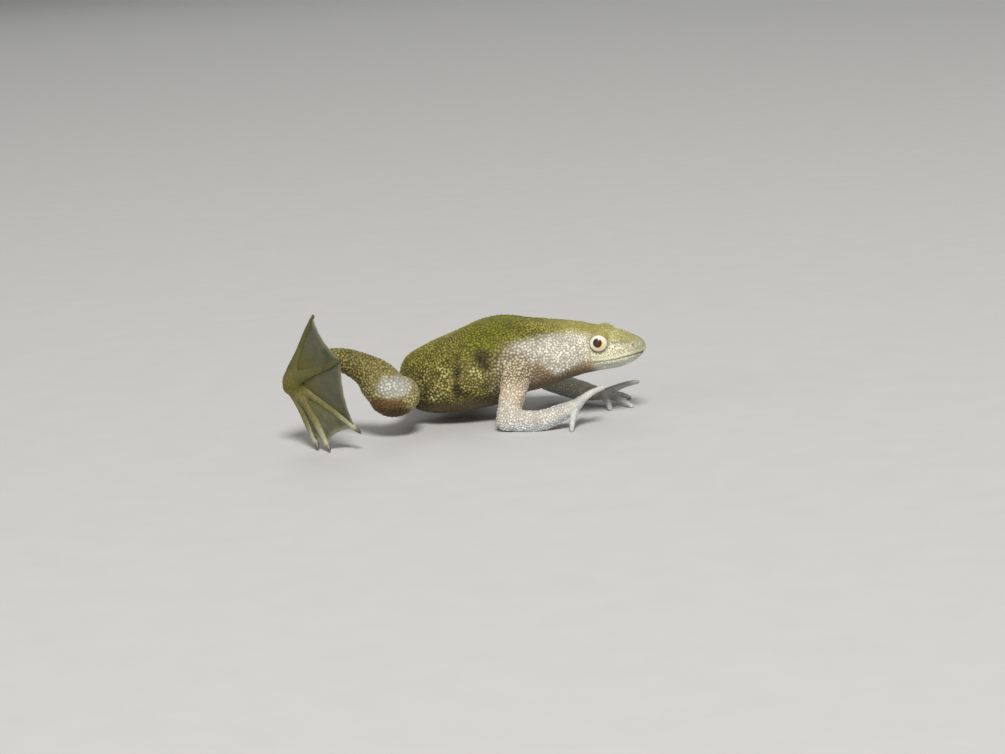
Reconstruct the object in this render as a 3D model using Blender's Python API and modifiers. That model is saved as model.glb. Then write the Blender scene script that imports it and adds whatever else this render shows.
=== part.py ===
"""A western dwarf clawed frog at life size, resting on its right elbow with one webbed foot raised.

The frog faces +X, its right side is at -Y, and the floor is z = 0. The origin is the middle of its
footprint on the floor. Every flesh node is a loft, and each one that grows from another is cut by a
copy of that other, grown by the gap that two touching nodes keep.
"""

import math

import bmesh
import bpy
import numpy as np
from mathutils import Matrix, Vector

MM = 0.001
GAP = 0.25

# Driving sizes, in millimetres, in a frame with x = 0 at the shoulders and z = 0 on the floor.
SNOUT_X = 19.4
RUMP_X = -13.8
NECK_X = 9.0
WEB_THICK = 0.5
EYE_RADIUS = 1.3
EYE_CENTRE = (13.8, 3.3, 10.15)
EYE_LOOKS = (0.16, 1.0, 0.22)
CLAW_LENGTH = 0.95

# The body from snout to rump: x, half width, top, height of the widest line, bottom, squareness.
BODY_SECTIONS = (
    (19.40, 0.45, 9.35, 8.95, 8.55, 2.0),
    (19.15, 1.00, 9.75, 8.90, 8.22, 2.0),
    (18.50, 1.75, 10.25, 8.78, 7.52, 2.0),
    (17.40, 2.60, 10.75, 8.62, 6.88, 2.1),
    (15.80, 3.45, 11.15, 8.50, 6.38, 2.2),
    (13.80, 4.20, 11.75, 8.42, 6.14, 2.3),
    (11.80, 4.80, 12.18, 8.30, 5.90, 2.4),
    (9.80, 5.10, 12.55, 8.20, 5.40, 2.4),
    (8.00, 5.20, 12.80, 8.10, 4.80, 2.4),
    (6.00, 5.40, 12.95, 8.00, 4.10, 2.4),
    (3.60, 5.90, 13.25, 7.90, 3.60, 2.3),
    (1.50, 6.50, 13.55, 7.60, 2.80, 2.3),
    (-0.80, 7.10, 13.60, 7.10, 2.00, 2.2),
    (-3.20, 7.55, 13.00, 6.60, 1.55, 2.2),
    (-5.60, 7.65, 12.00, 6.20, 1.30, 2.2),
    (-8.00, 7.15, 11.05, 5.90, 1.15, 2.2),
    (-10.00, 6.10, 10.25, 5.70, 1.20, 2.1),
    (-11.80, 4.60, 9.35, 5.60, 1.75, 2.1),
    (-13.05, 3.10, 8.45, 5.55, 2.75, 2.0),
    (-13.80, 0.95, 7.05, 5.50, 4.40, 2.0),
)

# Each arm: joints, and the half sizes of its girth along it (share of the length, width, depth).
RIGHT_ARM = {
    "side": "right",
    "shoulder": (3.2, -4.6, 7.6),
    "elbow": (2.25, -9.5, 1.45),
    "forearm_bends": ((6.6, -9.6, 1.25),),
    "wrist": (10.7, -9.1, 2.75),
    "palm": (11.6, -8.9, 3.2),
    "back": (-0.52, -0.1, 0.85),
    "fingers": ((11.7, -5.0, 3.2), (14.2, -5.8, 4.6), (14.9, -8.3, 5.1), (11.0, -11.3, 0.25)),
}
LEFT_ARM = {
    "side": "left",
    "shoulder": (3.3, 4.6, 7.6),
    "elbow": (4.3, 10.3, 2.9),
    "forearm_bends": ((7.9, 9.0, 1.9),),
    "wrist": (11.3, 6.9, 1.55),
    "palm": (12.2, 6.5, 1.45),
    "back": (0.1, 0.1, 1.0),
    "fingers": ((13.8, 2.4, 0.25), (16.5, 3.9, 0.25), (16.8, 8.0, 2.75), (15.2, 10.2, 0.25)),
}
UPPER_ARM_GIRTHS = ((0.0, 1.95, 2.0), (0.35, 1.8, 1.8), (0.7, 1.55, 1.55), (1.0, 1.5, 1.5))
FOREARM_GIRTHS = ((0.0, 1.5, 1.45), (0.3, 1.45, 1.4), (0.65, 1.3, 1.28), (1.0, 1.0, 0.95))

# Each leg: joints, then the toes from the inner to the outer one.
RIGHT_LEG = {
    "side": "right",
    "hip": (-11.3, -3.6, 4.9),
    "knee": (-12.0, -12.3, 5.5),
    "shank_bends": ((-15.0, -12.9, 9.1), (-18.1, -12.6, 10.6)),
    "ankle": (-20.6, -12.6, 11.1),
    "hub": (-24.75, -16.05, 8.75),
    "back": (0.65, 0.744, -0.156),
    "toes": (
        (-21.2, -18.3, 1.0),
        (-19.3, -19.7, 0.85),
        (-15.3, -20.0, 3.0),
        (-15.7, -22.6, 12.4),
        (-20.3, -17.9, 17.4),
    ),
}
LEFT_LEG = {
    "side": "left",
    "hip": (-9.2, 3.6, 5.7),
    "knee": (-7.8, 12.2, 4.3),
    "shank_bends": ((-12.6, 13.7, 3.9),),
    "ankle": (-17.0, 14.4, 2.4),
    "hub": (-12.8, 18.0, 1.15),
    "back": (0.0, 0.0, 1.0),
    "toes": (
        (-3.4, 16.4, 0.3),
        (-1.9, 20.2, 0.3),
        (-2.6, 24.0, 0.3),
        (-5.4, 27.0, 0.3),
        (-9.6, 27.8, 0.3),
    ),
}
THIGH_GIRTHS = ((0.0, 2.1, 2.15), (0.4, 2.1, 2.15), (0.8, 2.95, 2.55), (1.0, 3.25, 2.6))
SHANK_GIRTHS = ((0.0, 2.6, 2.7), (0.25, 2.3, 2.7), (0.5, 1.85, 2.0), (0.8, 1.4, 1.5), (1.0, 1.15, 1.15))
TARSUS_GIRTHS = ((0.0, 1.15, 1.1), (0.5, 1.05, 0.85), (1.0, 1.25, 0.8))
PAD_GIRTHS = ((0.0, 1.25, 0.8), (0.5, 1.6, 0.85), (1.0, 1.5, 0.8))
PALM_GIRTHS = ((0.0, 1.0, 0.9), (0.6, 1.15, 0.82), (1.0, 1.15, 0.7))
HEEL_LENGTH = 1.3
PAD_REACH = 1.6
CLAWED_TOES = 3


def clear_scene():
    for obj in list(bpy.data.objects):
        bpy.data.objects.remove(obj, do_unlink=True)


def collection(name):
    made = bpy.data.collections.new(name)
    bpy.context.scene.collection.children.link(made)
    return made


def material(name, colour, roughness):
    made = bpy.data.materials.new(name)
    made.use_nodes = True
    shader = made.node_tree.nodes["Principled BSDF"]
    shader.inputs["Base Color"].default_value = (*colour, 1.0)
    shader.inputs["Roughness"].default_value = roughness
    shader.inputs["Metallic"].default_value = 0.0
    return made


def smooth_between(places, rows, wanted):
    """Rows of numbers at the wanted places, on a cubic curve through the rows at the given places."""
    places = np.array(places, float)
    rows = np.array(rows, float)
    slopes = np.gradient(rows, places, axis=0)
    low = np.clip(np.searchsorted(places, wanted, side="right") - 1, 0, len(places) - 2)
    span = (places[low + 1] - places[low])[:, None]
    t = ((np.array(wanted) - places[low])[:, None]) / span
    h00, h10 = 2 * t**3 - 3 * t**2 + 1, t**3 - 2 * t**2 + t
    h01, h11 = -2 * t**3 + 3 * t**2, t**3 - t**2
    return h00 * rows[low] + h10 * span * slopes[low] + h01 * rows[low + 1] + h11 * span * slopes[low + 1]


def mesh_object(name, points, faces):
    """A mesh object from points in millimetres."""
    mesh = bpy.data.meshes.new(name)
    mesh.from_pydata([tuple(c * MM for c in p) for p in points], [], faces)
    mesh.validate()
    work = bmesh.new()
    work.from_mesh(mesh)
    bmesh.ops.recalc_face_normals(work, faces=work.faces)
    work.to_mesh(mesh)
    work.free()
    obj = bpy.data.objects.new(name, mesh)
    bpy.context.scene.collection.objects.link(obj)
    return obj


def loft(name, rings, start_pole=None, end_pole=None):
    """A closed skin over rings of as many points each, closed by a pole or by a flat face at each end."""
    around = len(rings[0])
    points = [tuple(p) for ring in rings for p in ring]
    faces = []
    for r in range(len(rings) - 1):
        for i in range(around):
            j = (i + 1) % around
            faces.append((r * around + i, r * around + j, (r + 1) * around + j, (r + 1) * around + i))
    for pole, first in ((start_pole, 0), (end_pole, (len(rings) - 1) * around)):
        if pole is None:
            faces.append(tuple(first + i for i in range(around)))
            continue
        points.append(tuple(pole))
        faces += [(first + i, first + (i + 1) % around, len(points) - 1) for i in range(around)]
    return mesh_object(name, points, faces)


def body_ring(section, around, grow=0.0):
    """One upright ring of the body: rounder above the widest line than below it."""
    x, width, top, middle, bottom, square = section
    power = 2.0 / square
    ring = []
    for i in range(around):
        turn = 2 * math.pi * i / around
        c, s = math.cos(turn), math.sin(turn)
        reach = (top - middle if s > 0 else middle - bottom) + grow
        across = (width + grow) * math.copysign(abs(c) ** power, c)
        ring.append((x, across, middle + reach * math.copysign(abs(s) ** power, s)))
    return ring


def body_sections(places):
    """The body's sections at the given x places, in millimetres."""
    table = np.array(BODY_SECTIONS)[::-1]
    read = smooth_between(table[:, 0], table[:, 1:], places)
    return [(x, *row) for x, row in zip(places, read)]


def spaced(start, end, step):
    """Even places from start to end, about a step apart."""
    return np.linspace(start, end, max(2, round(abs(end - start) / step) + 1))


def limb(name, path, girths, across, around=12, step=1.4, grow=0.0, round_start=True, round_end=True):
    """A fleshy tube along a curve through the path's points. Its girths are oval, wide along across."""
    path = np.array(path, float)
    lengths = np.concatenate([[0], np.cumsum(np.linalg.norm(np.diff(path, axis=0), axis=1))])
    total = lengths[-1]

    def centre(at):
        inside = smooth_between(lengths, path, np.clip([at], 0, total))[0]
        tangent = direction(at)
        return inside + tangent * (at - min(max(at, 0.0), total))

    def direction(at):
        at = min(max(at, 0.0), total)
        near, far = np.clip([at - 0.05 * total, at + 0.05 * total], 0, total)
        ends = smooth_between(lengths, path, [near, far])
        run = ends[1] - ends[0]
        return run / np.linalg.norm(run)

    shares = [g[0] for g in girths]
    sizes = [g[1:] for g in girths]
    stations = [(at, 1.0) for at in spaced(0.0, total, step)]
    lobes = (20, 45, 70)
    if round_start:
        reach = min(sizes[0]) + grow
        stations = [(-reach * math.cos(math.radians(a)), math.sin(math.radians(a))) for a in lobes] + stations
    if round_end:
        reach = min(sizes[-1]) + grow
        stations += [
            (total + reach * math.cos(math.radians(a)), math.sin(math.radians(a))) for a in reversed(lobes)
        ]
    elif grow:
        stations.append((total + grow, 1.0))
    rings = []
    for at, scale in stations:
        width, depth = smooth_between(shares, sizes, [min(max(at / total, 0.0), 1.0)])[0]
        tangent = direction(at)
        side = np.array(across, float)
        side -= tangent * side.dot(tangent)
        side /= np.linalg.norm(side)
        up = np.cross(tangent, side)
        turns = [2 * math.pi * i / around for i in range(around)]
        rings.append(
            [
                centre(at)
                + scale * ((width + grow) * math.cos(t) * side + (depth + grow) * math.sin(t) * up)
                for t in turns
            ]
        )
    start = centre(-(min(sizes[0]) + grow)) if round_start else None
    end = centre(total + min(sizes[-1]) + grow) if round_end else None
    return loft(name, rings, start, end)


def ball(name, centre, sizes, turn=None, segments=16, rings=10):
    """An ellipsoid with the given half sizes, turned by a matrix, as a UV sphere."""
    bpy.ops.mesh.primitive_uv_sphere_add(segments=segments, ring_count=rings, radius=MM)
    obj = bpy.context.object
    obj.name = name
    place = Matrix.Translation(Vector(centre) * MM)
    stretch = Matrix.Diagonal((*sizes, 1.0))
    obj.data.transform(place @ (turn.to_4x4() if turn else Matrix.Identity(4)) @ stretch)
    return obj


def box(name, low, high):
    bpy.ops.mesh.primitive_cube_add(size=1.0)
    obj = bpy.context.object
    obj.name = name
    low, high = Vector(low) * MM, Vector(high) * MM
    obj.data.transform(Matrix.Translation((low + high) / 2) @ Matrix.Diagonal((*(high - low), 1.0)))
    return obj


def take_modifiers(obj):
    """Keeps the mesh that the object's modifiers make, and removes them."""
    graph = bpy.context.evaluated_depsgraph_get()
    made = bpy.data.meshes.new_from_object(obj.evaluated_get(graph))
    obj.modifiers.clear()
    obj.data = made


def keep_largest_surface(obj):
    """Drops loose scraps and sealed hollows that a union or a cut leaves."""
    work = bmesh.new()
    work.from_mesh(obj.data)
    bmesh.ops.triangulate(work, faces=work.faces)
    left = set(work.faces)
    islands = []
    while left:
        island, front = set(), [left.pop()]
        while front:
            face = front.pop()
            island.add(face)
            for edge in face.edges:
                for other in edge.link_faces:
                    if other in left:
                        left.discard(other)
                        front.append(other)
        islands.append(island)

    def volume(island):
        corners = [[v.co for v in f.verts] for f in island]
        return sum(a.dot(b.cross(c)) for a, b, c in corners) / 6

    largest = max(islands, key=volume)
    scraps = [f for f in work.faces if f not in largest]
    bmesh.ops.delete(work, geom=scraps, context="FACES")
    work.to_mesh(obj.data)
    work.free()


def boolean(obj, others, operation):
    """Joins the other objects to this one, or cuts them from it, and removes them."""
    group = bpy.data.collections.new("boolean")
    bpy.context.scene.collection.children.link(group)
    for other in others:
        group.objects.link(other)
    modifier = obj.modifiers.new(operation.lower(), "BOOLEAN")
    modifier.operation = operation
    modifier.operand_type = "COLLECTION"
    modifier.collection = group
    modifier.solver = "MANIFOLD"
    take_modifiers(obj)
    for other in others:
        bpy.data.objects.remove(other, do_unlink=True)
    bpy.data.collections.remove(group)
    keep_largest_surface(obj)
    return obj


def floor_cutter():
    """All that would lie under the floor, so that what touches it rests on small flats."""
    return box("floor_cutter", (-60, -60, -20), (60, 60, 0))


def finish(obj, name, paint, parts):
    """Names a finished node, gives it its material and smooth shading, and files it with the parts."""
    obj.name = name
    obj.data.name = name
    obj.data.materials.clear()
    obj.data.materials.append(paint)
    obj.data.shade_smooth()
    obj.data.set_sharp_from_angle(angle=math.radians(50))
    for owner in list(obj.users_collection):
        owner.objects.unlink(obj)
    parts.objects.link(obj)
    return obj


def mirrored(point, sign):
    return (point[0], point[1] * sign, point[2])


def eye_turn(sign):
    """Turns +Z to the way that the eye on this side looks."""
    return Vector(mirrored(EYE_LOOKS, sign)).normalized().to_track_quat("Z", "Y").to_matrix()


def trunk():
    places = spaced(RUMP_X, NECK_X - GAP / 2, 1.35)
    sections = body_sections(places)
    rump = (RUMP_X - 0.25, 0.0, sections[0][3])
    body = loft("trunk", [body_ring(s, 28) for s in sections], start_pole=rump)
    vent = ball("vent", (RUMP_X + 0.1, 0.0, 5.9), (0.9, 0.8, 0.65), segments=10, rings=8)
    return boolean(body, [vent], "UNION")


def trunk_cutter():
    """The trunk grown by the gap, which makes room for it in the limbs."""
    sections = body_sections(spaced(RUMP_X, NECK_X, 1.35))
    rump = (RUMP_X - 0.25 - GAP, 0.0, sections[0][3])
    return loft("trunk_cutter", [body_ring(s, 28, GAP) for s in sections], start_pole=rump)


MOUTH_BACK_X = 12.5
MOUTH_DEPTH = 0.45
MOUTH_HEIGHT = 0.22
# How far the mouth's cutter reaches out of the cheeks, and out of the snout, and how much it leans forward.
MOUTH_PAST_CHEEK = 0.5
MOUTH_PAST_SNOUT = 0.8
MOUTH_LEAN = 0.3
# The mouth's line from its corner to the snout, which overhangs it: x and height.
MOUTH_LINE = (
    (12.50, 7.74),
    (14.40, 7.76),
    (16.00, 7.87),
    (17.00, 8.02),
    (18.00, 8.20),
    (18.80, 8.31),
    (19.40, 8.36),
)
LIP_RISE = 0.30
LIP_RADIUS = 0.17
LIP_SUNK = 0.11
# The lip starts this far before the mouth's corner, thin as a thread, and thickens over a share of itself.
LIP_START = 0.3
LIP_THREAD = 0.04
LIP_TAPER = 0.12
LIP_STEP = 0.55
# Where the head is narrower than the first of these half widths, the lip turns round to the other side, and
# its foremost point lies where the head is as narrow as the second.
LIP_TURN_WIDTH = 0.8
LIP_TIP_WIDTH = 0.3
LIP_TIP_SUNK = 1.4 * LIP_SUNK


def mouth_line(x, rise=0.0):
    """Half width and height of the head at x, on the mouth's line or this far above it."""
    _, width, top, middle, bottom, square = body_sections([x])[0]
    table = np.array(MOUTH_LINE)
    height = smooth_between(table[:, 0], table[:, 1:], [x])[0][0] + rise
    reach = middle - bottom if height < middle else top - middle
    share = min(abs(middle - height) / reach, 0.999)
    return width * (1 - share**square) ** (1 / square), height


def lip(rise):
    """A low rounded ridge along the head, above or below the mouth's line, joined round the snout."""
    places = spaced(MOUTH_BACK_X + LIP_START, SNOUT_X, LIP_STEP)
    xs = [x for x in places if mouth_line(x, rise)[0] > LIP_TURN_WIDTH]
    side = []
    for x in xs:
        width, height = mouth_line(x, rise)
        side.append((x, width - LIP_SUNK, height))
    tip_x = max(x for x in spaced(xs[-1], SNOUT_X, 0.02) if mouth_line(x, rise)[0] > LIP_TIP_WIDTH)
    tip = (tip_x - LIP_TIP_SUNK, 0.0, mouth_line(tip_x, rise)[1])
    path = side + [tip] + [(x, -width, height) for x, width, height in reversed(side)]
    full, thread = (LIP_RADIUS, LIP_RADIUS), (LIP_THREAD, LIP_THREAD)
    girths = ((0.0, *thread), (LIP_TAPER, *full), (1.0 - LIP_TAPER, *full), (1.0, *thread))
    return limb("lip", path, girths, (0.0, 0.0, 1.0), 8, 0.6)


def mouth_cutter():
    """A thin ribbon round the jaw, reaching a little way into the head."""
    xs = list(spaced(MOUTH_BACK_X, SNOUT_X - 0.02, 0.8))
    sides = []
    for sign in (-1, 1):
        side = []
        for x in xs:
            width, height = mouth_line(x)
            deep = max(width - MOUTH_DEPTH, 0.02)
            inner_x = min(x, SNOUT_X - MOUTH_DEPTH)
            outer = (x + MOUTH_LEAN, sign * (width + MOUTH_PAST_CHEEK), height)
            side.append(((inner_x, sign * deep, height), outer))
        sides.append(side)
    front = ((SNOUT_X - MOUTH_DEPTH, 0.0, height), (SNOUT_X + MOUTH_PAST_SNOUT, 0.0, height))
    ribbon = [*sides[0], front, *reversed(sides[1])]
    points = [p for pair in ribbon for p in pair]
    faces = [(2 * i, 2 * i + 1, 2 * i + 3, 2 * i + 2) for i in range(len(ribbon) - 1)]
    cutter = mesh_object("mouth_cutter", points, faces)
    solid = cutter.modifiers.new("solid", "SOLIDIFY")
    solid.thickness = MOUTH_HEIGHT * MM
    solid.offset = 0.0
    take_modifiers(cutter)
    return cutter


NOSTRIL = (18.25, 1.8, 9.4)
NOSTRIL_RADIUS = 0.28
BROW = (15.1, 2.2, 10.25)
BROW_SIZES = (1.7, 1.1, 0.8)
# The mound round each eye: how far it is sunk behind the eye, and how thick its wall is round the socket.
MOUND_SUNK = 0.35
MOUND_WALL = 0.22
MOUND_FLAT = 0.1


def head():
    places = list(spaced(NECK_X + GAP / 2, 17.2, 1.0)) + list(spaced(17.8, SNOUT_X, 0.4))
    sections = body_sections(places)
    nose = (SNOUT_X + 0.12, 0.0, sections[-1][3])
    skull = loft("head", [body_ring(s, 28) for s in sections], end_pole=nose)
    mounds, sockets = [], []
    for sign in (-1, 1):
        turn = eye_turn(sign)
        centre = Vector(mirrored(EYE_CENTRE, sign))
        sunk = centre - turn.col[2] * MOUND_SUNK
        swell = EYE_RADIUS + GAP + MOUND_WALL
        mounds.append(ball("mound", sunk, (swell, swell, swell - MOUND_FLAT), turn, 20, 12))
        sockets.append(ball("socket", centre, (EYE_RADIUS + GAP,) * 3, turn, 20, 12))
        mounds.append(ball("brow", mirrored(BROW, sign), BROW_SIZES, None, 16, 10))
    boolean(skull, [*mounds, lip(LIP_RISE), lip(-LIP_RISE)], "UNION")
    pits = [ball("nostril", mirrored(NOSTRIL, s), (NOSTRIL_RADIUS,) * 3, None, 10, 6) for s in (-1, 1)]
    return boolean(skull, [*sockets, *pits, mouth_cutter()], "DIFFERENCE")


def eye(sign):
    return ball("eye", mirrored(EYE_CENTRE, sign), (EYE_RADIUS,) * 3, eye_turn(sign), 20, 12)


def unit(vector):
    vector = np.array(vector, float)
    return vector / np.linalg.norm(vector)


def bezier(start, bend, end, at):
    """A point on the quadratic curve from start to end, drawn towards bend."""
    start, bend, end = (np.array(p, float) for p in (start, bend, end))
    return (1 - at) ** 2 * start + 2 * at * (1 - at) * bend + at**2 * end


def digit_bends(hub, tips, back, arch, bows):
    """What draws each digit's curve: its arch towards the back, and its bow away from the next digit."""
    bends = []
    for i, tip in enumerate(tips):
        run = unit(np.array(tip, float) - np.array(hub, float))
        outward = np.array(tip, float) - np.array(tips[i - 1] if i else tips[1], float)
        outward = unit(outward - run * outward.dot(run))
        middle = (np.array(hub, float) + np.array(tip, float)) / 2
        bends.append(middle + 2 * arch * np.array(back, float) + 2 * bows[i] * outward)
    return bends


def digit(name, hub, bend, tip, back, girths, flat_end):
    """One finger or toe, arched towards the back of the hand or foot."""
    path = [bezier(hub, bend, tip, at) for at in np.linspace(0, 1, 6)]
    run = np.array(tip, float) - np.array(hub, float)
    return limb(name, path, girths, np.cross(run, back), 8, 1.3, round_end=not flat_end)


def web(name, hub, bends, tips, reaches, notch, start=0.16):
    """The skin between two digits: a triangulated sheet, with a free edge that is hollow between them."""
    rows, columns = 7, 6
    points, faces = [], []
    for r in range(rows):
        for c in range(columns):
            t = c / (columns - 1)
            reach = reaches[0] * (1 - t) + reaches[1] * t - notch * 4 * t * (1 - t)
            at = start + (reach - start) * r / (rows - 1)
            ends = [bezier(hub, bend, tip, at) for bend, tip in zip(bends, tips)]
            points.append(ends[0] * (1 - t) + ends[1] * t)
    for r in range(rows - 1):
        for c in range(columns - 1):
            a, b = r * columns + c, r * columns + c + 1
            faces += [(a, b, b + columns), (a, b + columns, a + columns)]
    sheet = mesh_object(name, points, faces)
    solid = sheet.modifiers.new("solid", "SOLIDIFY")
    solid.thickness = WEB_THICK * MM
    solid.offset = 0.0
    take_modifiers(sheet)
    return sheet


FINGER_GIRTHS = ((0.0, 0.8, 0.7), (0.35, 0.55, 0.5), (0.75, 0.42, 0.4), (1.0, 0.33, 0.32))
TOE_GIRTHS = ((0.0, 0.95, 0.8), (0.3, 0.66, 0.6), (0.75, 0.5, 0.48), (1.0, 0.34, 0.33))
OUTER_TOE_GIRTHS = ((0.0, 0.9, 0.75), (0.3, 0.56, 0.5), (0.75, 0.42, 0.4), (1.0, 0.27, 0.26))
FINGER_ARCH = 0.25
TOE_ARCH = 0.45
FINGER_WEB = 0.45
FINGER_NOTCH = 0.1
FINGER_BOWS = (0.0, 0.0, 0.0, 0.0)
TOE_REACH = (0.9, 0.97, 0.98, 0.97, 0.97)
TOE_NOTCH = 0.05
# How far the toes bow outwards at their middle, from the inner to the outer toe.
TOE_BOWS = (0.45, 0.0, 0.0, 0.0, 0.7)


def toward(start, end, distance):
    """The point that lies the distance from start on the way to end."""
    return np.array(start, float) + distance * unit(np.array(end, float) - np.array(start, float))


def hand(arm):
    """Palm, four fingers and the short webs between them."""
    wrist, palm, back = arm["wrist"], arm["palm"], arm["back"]
    across = np.cross(np.array(arm["fingers"][2], float) - np.array(wrist, float), back)
    centre = limb("palm", (wrist, palm), PALM_GIRTHS, across, 12, 0.6, round_start=False)
    tips = arm["fingers"]
    bends = digit_bends(palm, tips, back, FINGER_ARCH, FINGER_BOWS)
    pieces = [
        digit("finger", palm, bend, tip, back, FINGER_GIRTHS, False) for bend, tip in zip(bends, tips)
    ]
    for i in range(len(tips) - 1):
        reaches = (FINGER_WEB, FINGER_WEB)
        pieces.append(web("web", palm, bends[i : i + 2], tips[i : i + 2], reaches, FINGER_NOTCH, 0.2))
    return boolean(centre, pieces, "UNION")


def foot(leg):
    """The broad middle foot, five toes and the full webs between them."""
    hub, back, toes = leg["hub"], leg["back"], leg["toes"]
    across = np.cross(np.array(toes[2], float) - np.array(hub, float), back)
    path = (toward(hub, leg["ankle"], HEEL_LENGTH), hub, toward(hub, toes[2], PAD_REACH))
    pad = limb("pad", path, PAD_GIRTHS, across, 14, 0.8, round_start=False)
    bends = digit_bends(hub, toes, back, TOE_ARCH, TOE_BOWS)
    pieces = []
    for i, (bend, tip) in enumerate(zip(bends, toes)):
        clawed = i < CLAWED_TOES
        pieces.append(digit("toe", hub, bend, tip, back, TOE_GIRTHS if clawed else OUTER_TOE_GIRTHS, clawed))
    for i in range(len(toes) - 1):
        reaches = TOE_REACH[i : i + 2]
        pieces.append(web("web", hub, bends[i : i + 2], toes[i : i + 2], reaches, TOE_NOTCH))
    return boolean(pad, pieces, "UNION")


# A claw arches up at its middle, droops at its point, and never dips below a thin layer over the floor.
CLAW_GIRTHS = ((0.0, 0.36, 0.34), (0.5, 0.26, 0.24), (1.0, 0.1, 0.1))
CLAW_ARCH = 0.06
CLAW_DROOP = 0.12
CLAW_LOWEST = 0.06


def claw(leg, toe):
    """A small dark horn sheath on the end of one of the three inner toes."""
    hub, tip, back = leg["hub"], leg["toes"][toe], leg["back"]
    bend = digit_bends(hub, leg["toes"], back, TOE_ARCH, TOE_BOWS)[toe]
    ahead = unit(np.array(tip, float) - bend)
    start = np.array(tip, float) + GAP * ahead
    end = start + CLAW_LENGTH * ahead - CLAW_DROOP * np.array(back, float)
    end[2] = max(end[2], CLAW_LOWEST)
    middle = (start + end) / 2 + CLAW_ARCH * np.array(back, float)
    return limb("claw", (start, middle, end), CLAW_GIRTHS, np.cross(ahead, back), 8, 0.3, round_start=False)


def arm_pieces(arm):
    """Functions that build the upper arm and the forearm, grown by a gap where they are cutters."""
    across = (1.0, 0.0, 0.0)

    def upper(grow=0.0):
        path = (arm["shoulder"], arm["elbow"])
        return limb("upper_arm", path, UPPER_ARM_GIRTHS, across, 14, 1.2, grow)

    def fore(grow=0.0):
        path = (arm["elbow"], *arm["forearm_bends"], arm["wrist"])
        return limb("forearm", path, FOREARM_GIRTHS, (0.0, 1.0, 0.0), 14, 1.2, grow, round_end=False)

    return upper, fore


def leg_pieces(leg):
    """Functions that build thigh, shank and tarsus, grown by a gap where they are cutters."""
    across = (1.0, 0.0, 0.0)

    def thigh(grow=0.0):
        return limb("thigh", (leg["hip"], leg["knee"]), THIGH_GIRTHS, across, 16, 1.5, grow)

    def shank(grow=0.0):
        path = (leg["knee"], *leg["shank_bends"], leg["ankle"])
        return limb("shank", path, SHANK_GIRTHS, (0.0, 1.0, 0.0), 16, 1.4, grow)

    def tarsus(grow=0.0):
        path = (leg["ankle"], toward(leg["hub"], leg["ankle"], HEEL_LENGTH))
        across = np.cross(np.array(leg["toes"][2], float) - np.array(leg["hub"], float), leg["back"])
        return limb("tarsus", path, TARSUS_GIRTHS, across, 12, 1.2, grow, round_end=False)

    return thigh, shank, tarsus


def move_to_footprint(parts):
    """Puts the origin on the floor, at the middle of the frog's bounding box."""
    corners = np.array([v.co for obj in parts.objects for v in obj.data.vertices])
    middle = (corners.min(axis=0) + corners.max(axis=0)) / 2
    shift = Matrix.Translation((-middle[0], -middle[1], 0.0))
    for obj in parts.objects:
        obj.data.transform(shift)


def main():
    clear_scene()
    parts = collection("western_dwarf_clawed_frog")
    back_skin = material("olive_skin", (0.36, 0.37, 0.2), 0.45)
    head_skin = material("silver_olive_skin", (0.5, 0.5, 0.36), 0.42)
    limb_skin = material("pale_skin", (0.62, 0.56, 0.46), 0.42)
    web_skin = material("web_skin", (0.4, 0.4, 0.27), 0.4)
    eye_paint = material("eye", (0.78, 0.68, 0.42), 0.12)
    horn = material("claw_horn", (0.03, 0.025, 0.02), 0.35)

    finish(trunk(), "trunk", back_skin, parts)
    finish(head(), "head", head_skin, parts)
    for sign, side in ((-1, "right"), (1, "left")):
        finish(eye(sign), f"eye_{side}", eye_paint, parts)

    for arm in (RIGHT_ARM, LEFT_ARM):
        side = arm["side"]
        upper, fore = arm_pieces(arm)
        shoulder = boolean(upper(), [trunk_cutter(), floor_cutter()], "DIFFERENCE")
        finish(shoulder, f"upper_arm_{side}", limb_skin, parts)
        forearm = boolean(fore(), [upper(GAP), floor_cutter()], "DIFFERENCE")
        finish(forearm, f"forearm_{side}", limb_skin, parts)
        paw = boolean(hand(arm), [fore(GAP), floor_cutter()], "DIFFERENCE")
        finish(paw, f"hand_{side}", limb_skin, parts)

    for leg in (RIGHT_LEG, LEFT_LEG):
        side = leg["side"]
        thigh, shank, tarsus = leg_pieces(leg)
        finish(boolean(thigh(), [trunk_cutter()], "DIFFERENCE"), f"thigh_{side}", back_skin, parts)
        shin = boolean(shank(), [thigh(GAP)], "DIFFERENCE")
        finish(shin, f"shank_{side}", back_skin, parts)
        ankle = boolean(tarsus(), [shank(GAP), floor_cutter()], "DIFFERENCE")
        finish(ankle, f"tarsus_{side}", back_skin, parts)
        paddle = boolean(foot(leg), [tarsus(GAP), floor_cutter()], "DIFFERENCE")
        finish(paddle, f"foot_{side}", web_skin, parts)
        for toe in range(CLAWED_TOES):
            nail = boolean(claw(leg, toe), [floor_cutter()], "DIFFERENCE")
            finish(nail, f"claw_{side}_{toe + 1}", horn, parts)

    move_to_footprint(parts)


main()
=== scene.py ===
"""The looks of a western dwarf clawed frog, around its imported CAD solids.

One skin is rebuilt from the same named sizes as the solids, fused, smoothed at its joints and given
the folds and warts of the living animal. Webs, eyes, eye rims and claws are pieces of their own.
Shapes are worked out in design millimetres, with x = 0 at the shoulders and z = 0 on the floor, and
are moved into the frame at the end.
"""

import math
from types import SimpleNamespace

import bmesh
import bpy
import numpy as np
from mathutils import Matrix, Vector, kdtree


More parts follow.
